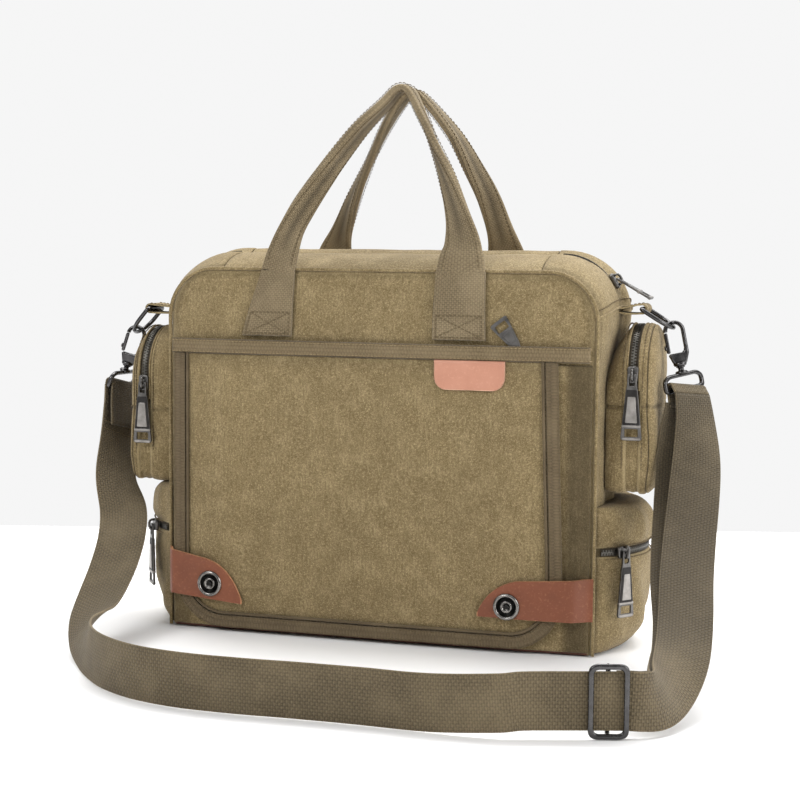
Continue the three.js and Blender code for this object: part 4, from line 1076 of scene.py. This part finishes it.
# box-stitched ends of the handles: bottom left, bottom right, top left, top right
PATCHES = {"left": (-108.0, -66.0, -93.0, -65.0), "right": (47.0, 89.0, 48.0, 87.0)}
PATCH_LOW, PATCH_HEIGHT = 236, 51.5
for face_name, face in (("front", -1), ("rear", 1)):
    for patch_name, (b0, b1, t0, t1) in PATCHES.items():
        if face > 0:
            t0, t1 = t0 + 2, t1 + 8

        def patch_point(s, t, lift=0.0):
            """s runs across from 0 to 1, t up from 0 to 1."""
            z = PATCH_LOW + PATCH_HEIGHT * t
            low, high = b0 + (t0 - b0) * t, b1 + (t1 - b1) * t
            x = low + (high - low) * s
            swell = puff(x, z) if face < 0 else back_puff(x, z)
            free = 1.2 * sin(pi * max(0.0, (t - 0.36) / 0.64)) * sin(pi * s)
            return (x, face * (60.3 + swell + free + lift), z)

        cols, ups = spread(20, True), spread(26, True)
        slab("handle_end_%s_%s" % (face_name, patch_name), [[patch_point(s, t) for s in cols] for t in ups],
             2.0, HANDLE, "bag", ["handle_patch_%s_%s" % (face_name, patch_name)],
             lambda i, j: 0.7 if i < 2 or j < 2 or j > len(cols) - 3 else 0.0, toward=(0, face, 0),
             uvs=lambda i, j: (cols[j] * 40, ups[i] * 51))
        box_line = [(0.07, 0.04), (0.93, 0.04), (0.93, 0.36), (0.07, 0.36), (0.07, 0.04)]
        cross = [[(0.07, 0.04), (0.93, 0.36)], [(0.07, 0.36), (0.93, 0.04)]]
        paths = []
        for corners in [box_line] + cross:
            line = []
            for (s0, q0), (s1, q1) in zip(corners, corners[1:]):
                line += [patch_point(s0 + (s1 - s0) * k / 14, q0 + (q1 - q0) * k / 14, 0.1)
                         for k in range(15)]
            paths.append(line)
        stitches("handle_end_stitches_%s_%s" % (face_name, patch_name), paths, THREAD_DARK, "bag",
                 (0, face, 0))


# ---- upper side pockets -------------------------------------------------------------------
UPPER_HALF, ARCH_Z = 36.0, 213.0
# zip: the groove that its zip lies in; sag: of the arch at the zip; low: where the zip's ends stop;
# seam: height of the seam round the pocket; edge: x of the rim's own seam;
# steps: distance out, inset and sag of each outline
UPPER = {
    "right": {"side": 1, "bottom": 122.0, "zip": (191.3, 199.7), "sag": 0.0, "low": 203.0,
              "slider": (195.5, 212.0), "seam": 188.0, "edge": 206.2, "steps": [
        [175.5, 0.4, 21], [177, 0.2, 19], [180, 0.0, 14], [184, -0.5, 8], [187.5, -0.3, 3],
        [189.6, 0.2, 0.8], [190.6, 0.5, 0], [191.1, 1.3, 0], [191.4, 2.6, 0], [195.5, 2.9, 0],
        [199.6, 2.6, 0], [199.9, 1.3, 0], [200.4, 0.3, 0], [201.4, -0.2, 0], [203.4, -0.3, 0],
        [205.2, 0, 0], [205.9, 0.9, 0], [206.2, 1.5, 0], [206.5, 0.9, 0], [207.4, 0.8, 0], [208.8, 2, 0],
        [210.2, 3.9, 0], [211.1, 6, 0], [211.7, 9, 0], [212.2, 13, 0], [212.8, 20, 0], [213.0, 28, 0]]},
    "left": {"side": -1, "bottom": 114.0, "zip": (200.3, 208.7), "sag": 9.8, "low": 184.0,
             "slider": (204.5, 194.0), "seam": 173.0, "edge": 214.1, "steps": [
            [175.5, 0.4, 17], [177.4, 0.3, 15], [182, 0, 11], [187, -0.4, 8.6], [192, -0.4, 8],
            [196, -0.1, 8.2], [198.6, 0.3, 8.5], [199.7, 0.6, 8.7], [200.1, 1.3, 8.8], [200.4, 2.6, 8.9],
            [204.5, 2.9, 9.8], [208.6, 2.6, 10.8], [208.9, 1.3, 10.9], [209.4, 0.3, 11],
            [210.4, -0.2, 11.8], [212, -0.1, 13], [213.2, 0.1, 13.8], [213.8, 1, 14.3], [214.1, 1.6, 14.5],
            [214.4, 1, 14.7], [215.4, 1.2, 15.4], [216.8, 2.6, 16.6], [218, 4.8, 17.8], [218.9, 8, 18.6],
            [219.4, 13, 19], [219.8, 20, 19.4], [220, 28, 19.6]]},}


def arch(inset, sag, bottom):
    """Outline of an upper pocket in y and z, with its outward direction."""
    r = UPPER_HALF - inset
    low, top = bottom + inset, ARCH_Z - sag
    corner = min(7.0, r)
    points = [(-(r - corner) + 2 * (r - corner) * t / 12, low, 0.0, -1.0) for t in range(13)]
    points += [(r - corner + corner * sin(a), low + corner - corner * cos(a), sin(a), -cos(a))
               for a in (pi / 2 * k / 5 for k in range(1, 5))]
    points += [(r, low + corner + (top - low - corner) * k / 44, 1.0, 0.0) for k in range(45)]
    points += [(r * cos(a), top + r * sin(a), cos(a), sin(a))
               for a in (pi * k / 36 for k in range(1, 36))]
    points += [(-r, top + (low + corner - top) * k / 44, -1.0, 0.0) for k in range(45)]
    points += [(-(r - corner) - corner * cos(a), low + corner - corner * sin(a), -cos(a), -sin(a))
               for a in (pi / 2 * k / 5 for k in range(1, 5))]
    return points


for pocket_name, pocket in UPPER.items():
    side, seam = pocket["side"], pocket["seam"]
    steps = catmull(pocket["steps"], 2)
    rings, shades = [], []
    for x, inset, sag in steps:
        ring, shade_line = [], []
        outer = ease((x - pocket["zip"][1] - 1) / 3)
        off_zip = max(outer, ease((pocket["zip"][0] - 1 - x) / 3))
        for y, z, ny, nz in arch(min(inset, 34), sag, pocket["bottom"]):
            near_seam = exp(-((z - seam) / 1.1) ** 2)
            dip = -1.0 * near_seam * off_zip
            soft = (0.9 * lump((x * side, y, z), 1 / 26, 13) + 0.35 * lump((x * side, y, z), 1 / 10, 14))
            crease = 0.8 * sin((z + 0.6 * y) / 5.5) * ease((seam - z) / 20)
            crease *= ease((z - pocket["bottom"]) / 14)
            groove = 1 if pocket["zip"][0] - 1 < x < pocket["zip"][1] + 1 else 0
            out = dip + (soft + crease * 0.7) * (1 - groove) * ease((x - 176) / 5)
            closed = ease((pocket["low"] - 3 - z) / 9)
            out += groove * closed * (inset - 0.5 + 0.4 * cos((x - sum(pocket["zip"]) / 2) * 0.9))
            belly = 1.8 * outer * ease((seam - z) / 30) * ease((z - pocket["bottom"]) / 25)
            lift = (1.1 * lump((x, y, z), 1 / 20, 15) - 1.1 * near_seam) * ease((inset - 2) / 6) + belly
            ring.append((side * (x + lift), y + ny * out * (1 if inset < 20 else 0.3),
                         z + nz * out * (1 if inset < 20 else 0.3)))
            shade_line.append(0.6 * near_seam * off_zip + 0.8 * groove * (1 - closed)
                              + 0.5 * ease((180 - x) / 4) + 0.8 * exp(-((x - pocket["edge"]) / 0.45) ** 2))
        rings.append(ring)
        shades.append(shade_line)
    loft("upper_pocket_shell_" + pocket_name, rings, CANVAS, "bag", ["upper_pocket_" + pocket_name],
         shade=lambda i, j: min(1.0, shades[i][j]),
         wear=lambda i, j: 0.5 if abs(steps[i][0] - pocket["zip"][0] + 1) < 0.8 or abs(
             steps[i][0] - pocket["zip"][1] - 1) < 0.9 else 0.0)
    middle, top, low = sum(pocket["zip"]) / 2, ARCH_Z - pocket["sag"], pocket["low"]

    def arc_path(r, x, low=low, top=top, count=40, side=side):
        points = [(side * x, -r, low + (top - low) * k / 6) for k in range(6)]
        points += [(side * x, -r * cos(a), top + r * sin(a))
                   for a in (pi * k / count for k in range(count + 1))]
        points += [(side * x, r, top - (top - low) * k / 6) for k in range(1, 7)]
        return points

    def radial(p, top=top):
        return Vector((0, p[1], max(0.0, p[2] - top))).normalized()

    zip_run("upper_zip_run_" + pocket_name, arc_path(UPPER_HALF - 0.7, middle), radial, (1, 0, 0), "bag",
            ["upper_zip_" + pocket_name], half=4.1)
    for n, x in enumerate((pocket["zip"][0] - 0.4, pocket["zip"][1] + 0.4)):
        tube("upper_zip_welt_%s_%d" % (pocket_name, n), arc_path(UPPER_HALF + 0.1, x, low=low - 3), 0.9,
             CANVAS, "bag", sides=8)
    foot = pocket["bottom"] + 12
    rows = [[Vector(p) + radial(p) * 0.15 for p in arc_path(UPPER_HALF + 0.2, x, low=foot, count=26)]
            for x in (pocket["zip"][0] - 3.4, pocket["zip"][1] + 3.2)]
    stitches("upper_pocket_stitches_" + pocket_name, rows, THREAD_DARK, "bag", radial)
    seam_row = [(side * (pocket["zip"][1] + 2.4 + k * 1.2), -UPPER_HALF - 0.2 + 0.12 * k * k / 6,
                 seam + 1.7) for k in range(7)]
    inner_row = [(side * (pocket["zip"][0] - 2.6 - k * 1.6), -UPPER_HALF - 0.3 + 0.05 * k, seam - 1.9)
                 for k in range(8)]
    tube("upper_seam_welt_" + pocket_name, [(x, y + 0.35, z + 3.3) for x, y, z in inner_row], 0.75, CANVAS,
         "bag", sides=8)
    stitches("upper_seam_stitches_" + pocket_name, [seam_row, inner_row], THREAD_DARK, "bag", (0, -1, 0))
    prefix = "upper_zip_" + pocket_name
    zip_hardware(prefix, prefix, (side * pocket["slider"][0], -UPPER_HALF + 0.3, pocket["slider"][1]),
                 (0, 0, 1), (0, -1, 0), (9, 12.5), 0, "upper_slider_" + pocket_name,
                 "upper_pull_" + pocket_name)


# ---- lower side pockets -------------------------------------------------------------------
LOWER_HALF, LOWER_START, LOWER_ZIP_Z = 54.0, HALF_WIDTH + 0.3, 79.0
BULGES = [[2.5, 16], [4.4, 18.6], [8, 22.5], [14, 26.4], [22, 29], [32, 31], [45, 32.6], [58, 33.4],
          [68, 33.4], [73, 33], [75.4, 32], [76.1, 29.6], [79, 29.3], [81.9, 29.6], [82.6, 32], [85, 33.6],
          [90, 34.8], [97, 35], [103, 33.8], [108, 31], [111, 27.5], [112.6, 22.5], [113, 16]]


def bulge_arc(bulge):
    radius = (LOWER_HALF ** 2 + bulge ** 2) / (2 * bulge)
    sweep = asin(min(1, LOWER_HALF / radius))
    return LOWER_START + bulge - radius, radius, sweep


for pocket_name, side in HANDS:
    levels = catmull(BULGES, 3)
    rings = []
    for z, bulge in levels:
        centre, radius, sweep = bulge_arc(bulge)
        ring = []
        in_groove = 1 if 75.7 < z < 82.3 else 0
        for k in range(61):
            t = k / 30 - 1
            a = t * sweep
            keep = ease((1 - abs(t)) / 0.16)
            fold = 1.3 * sin(t * 9 + z / 9 + 3 * lump((side, t, z / 60), 1, 16)) * ease((74 - z)
                                                                                        / 18) * ease(z / 22)
            gathers = 1.1 * sin(t * 15 + 2 * lump((side * 5, t * 2, 0), 1, 17)) * ease((z - 83)
                                                                                       / 6) * ease((113 - z)
                                                                                                   / 9)
            soft = 1.3 * lump((side * 20, t * 50, z), 1 / 22, 18) + 0.5 * lump((side * 20, t * 50, z),
                                                                               1 / 9, 19)
            out = (fold + gathers + soft) * keep * (1 - in_groove)
            ring.append((side * (centre + (radius + out) * cos(a)), (radius + out * keep) * sin(a), z))
        rings.append(ring)
    loft("lower_pocket_shell_" + pocket_name, rings, CANVAS, "bag", ["lower_pocket_" + pocket_name],
         shade=lambda i, j: 0.8 if 75.7 < levels[i][0] < 82.3
         else 0.35 * ease((7 - levels[i][0]) / 6) + 0.5 * ease(
        (abs(j / 30 - 1) - 0.93) / 0.07), wear=lambda i, j: 0.45 if 0 < abs(levels[i][0] - 79) - 3.3 < 0.9
         else 0.0)
    centre, radius, sweep = bulge_arc(29.5)
    zip_path = [(side * (centre + (radius + 1.2) * cos(a)), (radius + 1.2) * sin(a), LOWER_ZIP_Z)
                for a in ((k / 20 - 1) * (sweep - 0.07) for k in range(41))]

    def from_arc(p, side=side, centre=centre):
        return (Vector((p[0], p[1], 0)) - Vector((side * centre, 0, 0))).normalized()

    zip_run("lower_zip_run_" + pocket_name, zip_path, from_arc, (0, 0, 1), "bag",
            ["lower_zip_" + pocket_name], half=3.0)
    for n, z in enumerate((LOWER_ZIP_Z - 4.6, LOWER_ZIP_Z + 4.6)):
        row = [(side * (centre + (radius + 3.9) * cos(a)), (radius + 3.9) * sin(a), z)
               for a in ((k / 30 - 1) * (sweep - 0.12) for k in range(61))]
        stitches("lower_zip_stitches_%s_%d" % (pocket_name, n), [row], THREAD_DARK, "bag", from_arc)
    slider_angle = radians(-38)
    out = Vector((side * cos(slider_angle), sin(slider_angle), 0))
    prefix = "lower_zip_" + pocket_name
    zip_hardware(prefix, prefix, Vector((side * centre, 0, LOWER_ZIP_Z)) + out * (radius + 3.4), (0, 0, 1),
                 out, (12.5, 9), 0, "lower_slider_" + pocket_name, "lower_pull_" + pocket_name)


# ---- strap hardware -----------------------------------------------------------------------
RING_Y, TAB_HALF, WIRE = -5.0, 11.4, 3.4
HOOK_EYE, BAR_DROP, D_HALF, D_REACH = 28.2, 19.0, 14.6, 26.3
SIDES = {"left": (-1, (209.0, 254.0), radians(50), (15.1, 0, 44.5), (0.05, 1, 0)),
         "right": (1, (198.0, 260.5), radians(32), (-9.7, 0, 46.6), (0.55, 0.835, 0))}
BARS = {}


def hook_bend(r, start, end, count):
    """An arc of the hook's bend, with its angles in degrees."""
    turns = [radians(start + (end - start) * k / count) for k in range(count + 1)]
    return [(r * cos(a), 25.5 + r * sin(a)) for a in turns]


HOOK_OUTLINE = [(-4.6, 0), (4.6, 0), (5.6, 1.2), (8.2, 8), (8.2, 16), *hook_bend(8.2, 0, 180, 18),
                *hook_bend(5.2, 180, 0, 14), (5.2, 12), (4.6, 10), (3, 8.8), (-6.2, 8.6), (-7.2, 7.4)]


def turned(name, profile, matrix, material, body, replaces=(), count=28):
    """Rings turned about local v: each as (height, radius)."""
    rings = [[matrix @ Vector((r * c, h, r * s)) for c, s in circle(count)] for h, r in profile]
    return loft(name, rings, material, body, replaces)


for hand, (side, (bar_x, bar_z), fall, hang, web) in SIDES.items():
    # canvas strip, folded round the D-ring's bar and sewn to the side
    loop = [(172.5, bar_z - 0.2), (176, bar_z - 0.1), (180, bar_z + 0.7), (186, bar_z + 1.8),
            (bar_x - 6, bar_z + 3.4)]
    loop += [(bar_x + 4.1 * cos(a), bar_z + 4.1 * sin(a))
             for a in (radians(100 - 200 * k / 14) for k in range(15))]
    loop += [(bar_x - 6, bar_z - 4.3), (186, bar_z - 4.2), (180, bar_z - 3.4), (176, bar_z - 3.2),
             (172.5, bar_z - 3.1)]
    loop = catmull([list(p) for p in loop], 3)
    across = spread(12, True)
    rows = [[(side * x, RING_Y - TAB_HALF + 2 * TAB_HALF * t, z) for t in across] for x, z in loop]
    reach = run_lengths([(x, 0, z) for x, z in loop])
    slab("ring_loop_" + hand, rows, 1.3, CANVAS, "bag", ["ring_tab_" + hand],
         lambda i, j: 0.7 if j < 2 or j > len(across) - 3 else 0.0, toward=(side, 0, 0),
         uvs=lambda i, j: (across[j] * 22.8, reach[i]))
    line = [[(side * x, RING_Y + y, z + 0.1) for x, z in loop[3:16]]
            for y in (-TAB_HALF + 2.4, TAB_HALF - 2.4)]
    stitches("ring_loop_stitches_" + hand, line, THREAD_DARK, "bag", (0, 0, 1))

    pivot = Vector((side * bar_x, RING_Y, bar_z))
    outward = Vector((side * cos(fall), 0, -sin(fall)))
    hanging = Vector(hang).normalized()
    eye = pivot + outward * D_REACH
    base = eye - hanging * HOOK_EYE
    bar_centre = base - hanging * BAR_DROP
    web_dir = Vector(web).normalized()
    BARS[hand] = bar_centre

    matrix = local_matrix(pivot, -outward, (0.53 * side, 0, 0.85))
    bend = D_HALF - D_REACH
    points = [[D_HALF, -3, 0], [D_HALF - 0.8, -0.9, 0], [D_HALF - 3, 0, 0], [6, 0, 0], [0, 0, 0],
              [-6, 0, 0], [3 - D_HALF, 0, 0], [0.8 - D_HALF, -0.9, 0], [-D_HALF, -3, 0]]
    points += [[D_HALF * cos(a), bend + D_HALF * sin(a), 0] for a in (pi * (1 + k / 12) for k in range(13))]
    points = catmull(points + [points[0]], 4)[:-1]
    tube("d_ring_wire_" + hand, [matrix @ Vector(p) for p in points], WIRE / 2, METAL, "ring_" + hand,
         ["d_ring_" + hand], sides=14, cyclic=True)

    matrix = local_matrix(base, hanging, (0.29, -0.955, 0))
    plate("hook_frame_" + hand, [HOOK_OUTLINE], 5.4, 1.5, matrix, METAL, "snap_hook_" + hand,
          ["hook_" + hand])
    turned("hook_collar_" + hand, [(-1.6, 3.0), (-1.2, 4.4), (-0.2, 5.0), (1.0, 4.9), (1.8, 4.2),
                                   (2.1, 3.2)], matrix, METAL, "snap_hook_" + hand)
    plate("gate_bar_" + hand, [rounded(rectangle(-8.2, 9.2, -5.5, 25.0), 1.2)], 3.6, 0.8, matrix, METAL,
          "gate_" + hand, ["hook_gate_" + hand])
    turned("gate_thumb_" + hand, [(-1.0, 0.9), (-0.7, 1.7), (0, 2.0), (0.7, 1.7), (1.0, 0.9)],
           local_matrix(matrix @ Vector((-8.5, 13.5, 0)), matrix.to_3x3() @ Vector((1, 0, 0)),
                        matrix.to_3x3() @ Vector((0, 0, 1))), METAL, "gate_" + hand, count=20)

    face = web_dir.cross(hanging)
    matrix = local_matrix(bar_centre, hanging, face)
    half = 22.6
    plate("strap_ring_frame_" + hand, [rounded([(-half, -1.6), (half, -1.6), (half, 8.6), (half - 6, 12.6),
                                                (6 - half, 12.6), (-half, 8.6)], 4.2, 6),
                                       rounded([(3.3 - half, 1.6), (half - 3.3, 1.6), (half - 3.3, 7.4),
                                                (half - 8, 9.4), (8 - half, 9.4), (3.3 - half, 7.4)], 2.4,
                                               6)], 3.4, 1.3, matrix, METAL, "bag", ["strap_ring_" + hand])
    turned("swivel_post_" + hand, [(11.6, 4.4), (12.8, 4.9), (13.8, 4.2), (14.2, 2.3), (15.2, 2.1),
                                   (16.2, 2.3), (16.7, 3.4), (17.3, 3.5)], matrix, METAL, "bag")


# ---- shoulder strap -----------------------------------------------------------------------
# middle of the webbing, then its width direction
MAIN_RUN = [
    [-244.4, -6, 187.2, 0.05, 1, 0], [-242, -11, 165, 0.12, 0.99, 0], [-237, -21.5, 140, 0.25, 0.97, 0],
    [-228.5, -40, 115, 0.45, 0.89, 0], [-213, -59, 92, 0.85, 0.5, 0], [-204, -80, 74, 0.93, 0.35, 0.02],
    [-199, -104, 56, 0.95, 0.3, 0.05], [-195, -130, 41, 0.95, 0.25, 0.12],
    [-190, -157, 30, 0.93, 0.15, 0.3], [-181, -184, 23.5, 0.75, -0.05, 0.66],
    [-168, -212, 20.2, 0.35, -0.08, 0.93], [-150, -239, 19.6, 0.06, 0, 1], [-126, -262, 19.6, 0, 0, 1],
    [-96, -279, 19.6, 0, 0, 1], [-60, -288, 19.6, 0, 0, 1], [-20, -290, 19.6, 0, 0, 1],
    [26, -288.5, 19.6, 0, 0, 1], [70, -288.5, 19.6, 0, 0, 1], [112, -290, 19.8, 0, 0, 1],
    [154.9, -288.1, 22.6, 0, 0, 1], [171.1, -282.9, 24, 0, 0, 1], [197.7, -274.3, 24.3, 0, 0, 1],
    [230, -263.9, 24.3, 0, 0, 1], [243, -259.7, 23.8, 0, 0, 1], [252, -245, 22.8, -0.3, 0, 0.95],
    [255, -219, 26, -0.65, -0.1, 0.7], [256.5, -186, 38.5, -0.9, -0.25, 0.25],
    [253.5, -150, 55, -0.95, -0.3, 0.02], [249, -115, 76, -0.955, -0.295, 0],
    [246, -80, 99, -0.955, -0.295, 0], [244.5, -51, 124, -0.93, -0.36, 0], [243, -28, 149, -0.83, -0.55, 0],
    [240, -13.5, 174, -0.66, -0.75, 0], [236, -7.5, 197, -0.55, -0.835, 0]]
RETURN_START, RETURN_END = 22, 32.8
RETURN_OFFSETS = [2.8, 3.2, 3.6, 4, 4.7, 6, 7.5, 9.5, 11, 11.5, 9, 5.8]
RETURN_SIDES = [0, 0, 0, 0, 1, 3, 6, 8, 9, 9, 7, 3]
WEB, WEB_T, FOLD_R = 38.0, 2.0, 2.9
STEPS = 8


def strap_rows(start, end, offset, shift=lambda t: 0):
    """Centre, width direction and face direction of each row."""
    dense = catmull(MAIN_RUN, STEPS)
    centres = [Vector(s[:3]) for s in dense]
    rows = []
    for i, s in enumerate(dense):
        t = i / STEPS
        if t < start - 1e-6 or t > end + 1e-6:
            continue
        ahead = along_path(centres, i)
        wide = Vector(s[3:6])
        wide = (wide - ahead * wide.dot(ahead)).normalized()
        face = ahead.cross(wide)
        rows.append((centres[i] + face * offset(t) + wide * shift(t), wide, face))
    return rows


def webbing(name, rows, body, replaces=(), ripple=0.35, seed=20, shade=None):
    """Flat webbing with rounded edges; rows hold a centre, a width and a face direction."""
    centres = [r[0] for r in rows]
    lengths = run_lengths(centres)
    across = [-1, -0.985, -0.94, -0.8, -0.5, 0, 0.5, 0.8, 0.94, 0.985, 1]
    grid = [[c + wide * k * WEB / 2 + face * (WEB_T / 2 - 0.35 * max(0.0, abs(k) - 0.94) / 0.06
                                             + ripple * lump(c + wide * k * 19, 1 / 30, seed))
             for k in across] for c, wide, face in rows]
    piece = slab(name, grid, WEB_T - 0.2, WEBBING, body, replaces,
                 lambda i, j: 0.6 if j < 2 or j > len(across) - 3 else 0.0, shade,
                 toward=rows[len(rows) // 2][2], uvs=lambda i, j: (across[j] * WEB / 2, lengths[i]),
                 edge=0.1)
    return piece, centres, lengths[-1]


def along_return(values, t):
    k = t - RETURN_START
    i = max(0, min(len(values) - 2, int(floor(k))))
    blend = max(0.0, min(1.0, k - i))
    return values[i] * (1 - blend) + values[i + 1] * blend


def fold_round(name, centre, axis, start, ahead, tail, shade=None):
    """Webbing that goes on from a run's end, round a bar and back on itself.
    centre and axis are the bar's, start the run's end point, tail how far it comes back."""
    radial = start - centre
    radial -= axis * radial.dot(axis)
    outward = (radial - ahead * radial.dot(ahead)).normalized()
    along = ahead - axis * ahead.dot(axis)
    along.normalize()
    outward = (outward - along * outward.dot(along) - axis * outward.dot(axis)).normalized()
    anchor = centre + axis * (start - centre).dot(axis)
    points = [start]
    if (anchor - start).dot(along) > 1:
        points.append(start * 0.5 + (anchor + outward * FOLD_R) * 0.5)
    for k in range(13):
        a = pi * k / 12
        points.append(anchor + outward * FOLD_R * cos(a) + along * FOLD_R * sin(a))
    for k in range(1, 9):
        points.append(anchor - outward * FOLD_R * (1 - 0.25 * ease(k / 4)) - along * (tail * k / 8))
    rows = [(p, axis, along_path(points, i).cross(axis).normalized()) for i, p in enumerate(points)]
    return webbing(name, rows, "bag", seed=23, shade=shade)[0]


main_rows = strap_rows(0, len(MAIN_RUN) - 1, lambda t: 0)
strap_main, main_path, main_length = webbing("strap_main_run", main_rows, "bag", ["strap_main"],
                                             shade=lambda i, j: 0.25 * ease((3 - i / STEPS) / 1.5)
                                             + 0.55 * ease((i / STEPS - 24.5) / 2.5))
return_rows = strap_rows(RETURN_START - 0.15, RETURN_END, lambda t: -along_return(RETURN_OFFSETS, t),
                         lambda t: along_return(RETURN_SIDES, t))
strap_return, return_path, return_length = webbing("strap_return_run", return_rows, "bag", ["strap_return"],
                                                   seed=21, shade=lambda i, j: 0.55
                                                   * ease((i / STEPS - 2.5) / 2.5))

# sewn end round the left strap ring's bar, and the fold round the right one's
left_end = fold_round("strap_end_left", BARS["left"], main_rows[0][1], main_path[0],
                      (main_path[0] - main_path[1]).normalized(), 36, shade=lambda i, j: 0.45)
right_fold = fold_round("strap_fold_right", BARS["right"], main_rows[-1][1], main_path[-1],
                        (main_path[-1] - main_path[-2]).normalized(), 15)
seam_rows = [[centre + wide * k * 17 + face * 1.15 for k in (-1, -0.5, 0, 0.5, 1)]
             for centre, wide, face in (main_rows[11], main_rows[13])]
seam_out = main_rows[12][2]
seam = stitches("strap_end_stitches", seam_rows, THREAD_DARK, "bag", seam_out)
seam_back = stitches("strap_end_stitches_back", [[p - seam_out * 2.4 for p in line] for line in seam_rows],
                     THREAD_DARK, "bag", -seam_out)

# adjuster: a rounded frame in front of the webbing, and a bar behind it
along = Vector((0.952, 0.306, 0)).normalized()
out = Vector((along.y, -along.x, 0))
adjuster_at = Vector((222, -266.49, 24.4)) + out * (WEB_T / 2 + 0.3 + 1.5)
matrix = local_matrix(adjuster_at, (0, 0, 1), out)
plate("adjuster_frame", [rounded(rectangle(-13, -24, 13, 24), 6.5, 8),
                         rounded(rectangle(-9.4, -20.4, 9.4, 20.4), 3.8, 8)], 3.2, 1.4, matrix, METAL,
      "adjuster", ["strap_adjuster"])
behind = -(WEB_T + 0.6 + 3.0)
tube("adjuster_bar", [matrix @ Vector((0, v, behind)) for v in (-21.4, -10, 0, 10, 21.4)], 1.5, METAL,
     "adjuster", sides=14)
for n, end in enumerate((-1, 1)):
    tube("adjuster_lug_%d" % n, [matrix @ Vector((0, end * 21.6, w)) for w in (0.6, -1.2, behind - 0.9)],
         1.35, METAL, "adjuster", sides=10)


# ---- CAD nodes that are shown as they are --------------------------------------------------
def coat(node, material):
    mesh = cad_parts[node].data
    mesh.materials.clear()
    mesh.materials.append(material)


coat("base_board", BOARD)
coat("front_zip_slider", PULL_METAL)


# ---- floor and lights ---------------------------------------------------------------------
def stage_plane(name, corners, material):
    mesh = bpy.data.meshes.new(name)
    mesh.from_pydata([Vector(c) for c in corners], [], [(0, 1, 2, 3)])
    mesh.materials.append(material)
    plane = bpy.data.objects.new(name, mesh)
    bpy.context.collection.objects.link(plane)


FLOOR = Graph("floor").finish(rgb(250, 250, 250), roughness=0.6, specular=0.2)
far = AWAY * 0.485
stage_plane("floor_plane", [far - ACROSS * 4, far + ACROSS * 4, ACROSS * 4 - AWAY * 3,
                            -ACROSS * 4 - AWAY * 3], FLOOR)


def area_light(name, place, size, power):
    """A lamp that looks at the middle of the bag."""
    data = bpy.data.lights.new(name, "AREA")
    data.shape, data.energy = "RECTANGLE", power
    data.size, data.size_y = size
    lamp = bpy.data.objects.new(name, data)
    turn = (LIT - place).to_track_quat("-Z", "Y").to_matrix().to_4x4()
    lamp.matrix_world = Matrix.Translation(place) @ turn
    bpy.context.collection.objects.link(lamp)


ROOM_LIGHT, SCREEN_LIGHT = 0.42, 0.92
LIT, UP = Vector((0, 0, 0.2)), Vector((0, 0, 1))
area_light("key", LIT - AWAY * 1.45 - ACROSS * 1.3 + UP * 1.35, (0.9, 0.8), 20)
area_light("fill", LIT - AWAY * 1.1 + ACROSS * 1.6 + UP * 0.6, (1.2, 1.0), 22)
area_light("top", LIT + AWAY * 0.46 + UP * 1.45, (1.7, 0.6), 33)
area_light("back", AWAY * 0.1 + ACROSS * 0.9 + UP * 1.2, (0.6, 0.9), 8)
# the room is dim all round, with a bright screen beyond the far edge of the floor
world = bpy.data.worlds.new("studio")
world.use_nodes = True
tree = world.node_tree
background = tree.nodes["Background"]
background.inputs["Color"].default_value = (1, 1, 1, 1)
toward = tree.nodes.new("ShaderNodeTexCoord")
facing = tree.nodes.new("ShaderNodeVectorMath")
facing.operation = "DOT_PRODUCT"
facing.inputs[1].default_value = AWAY
screen = tree.nodes.new("ShaderNodeMapRange")
for socket, value in (("From Min", 0.3), ("From Max", 0.8), ("To Min", ROOM_LIGHT),
                      ("To Max", SCREEN_LIGHT)):
    screen.inputs[socket].default_value = value
tree.links.new(toward.outputs["Generated"], facing.inputs[0])
tree.links.new(facing.outputs["Value"], screen.inputs["Value"])
tree.links.new(screen.outputs["Result"], background.inputs["Strength"])
bpy.context.scene.world = world
bpy.context.scene.view_settings.view_transform = "Standard"
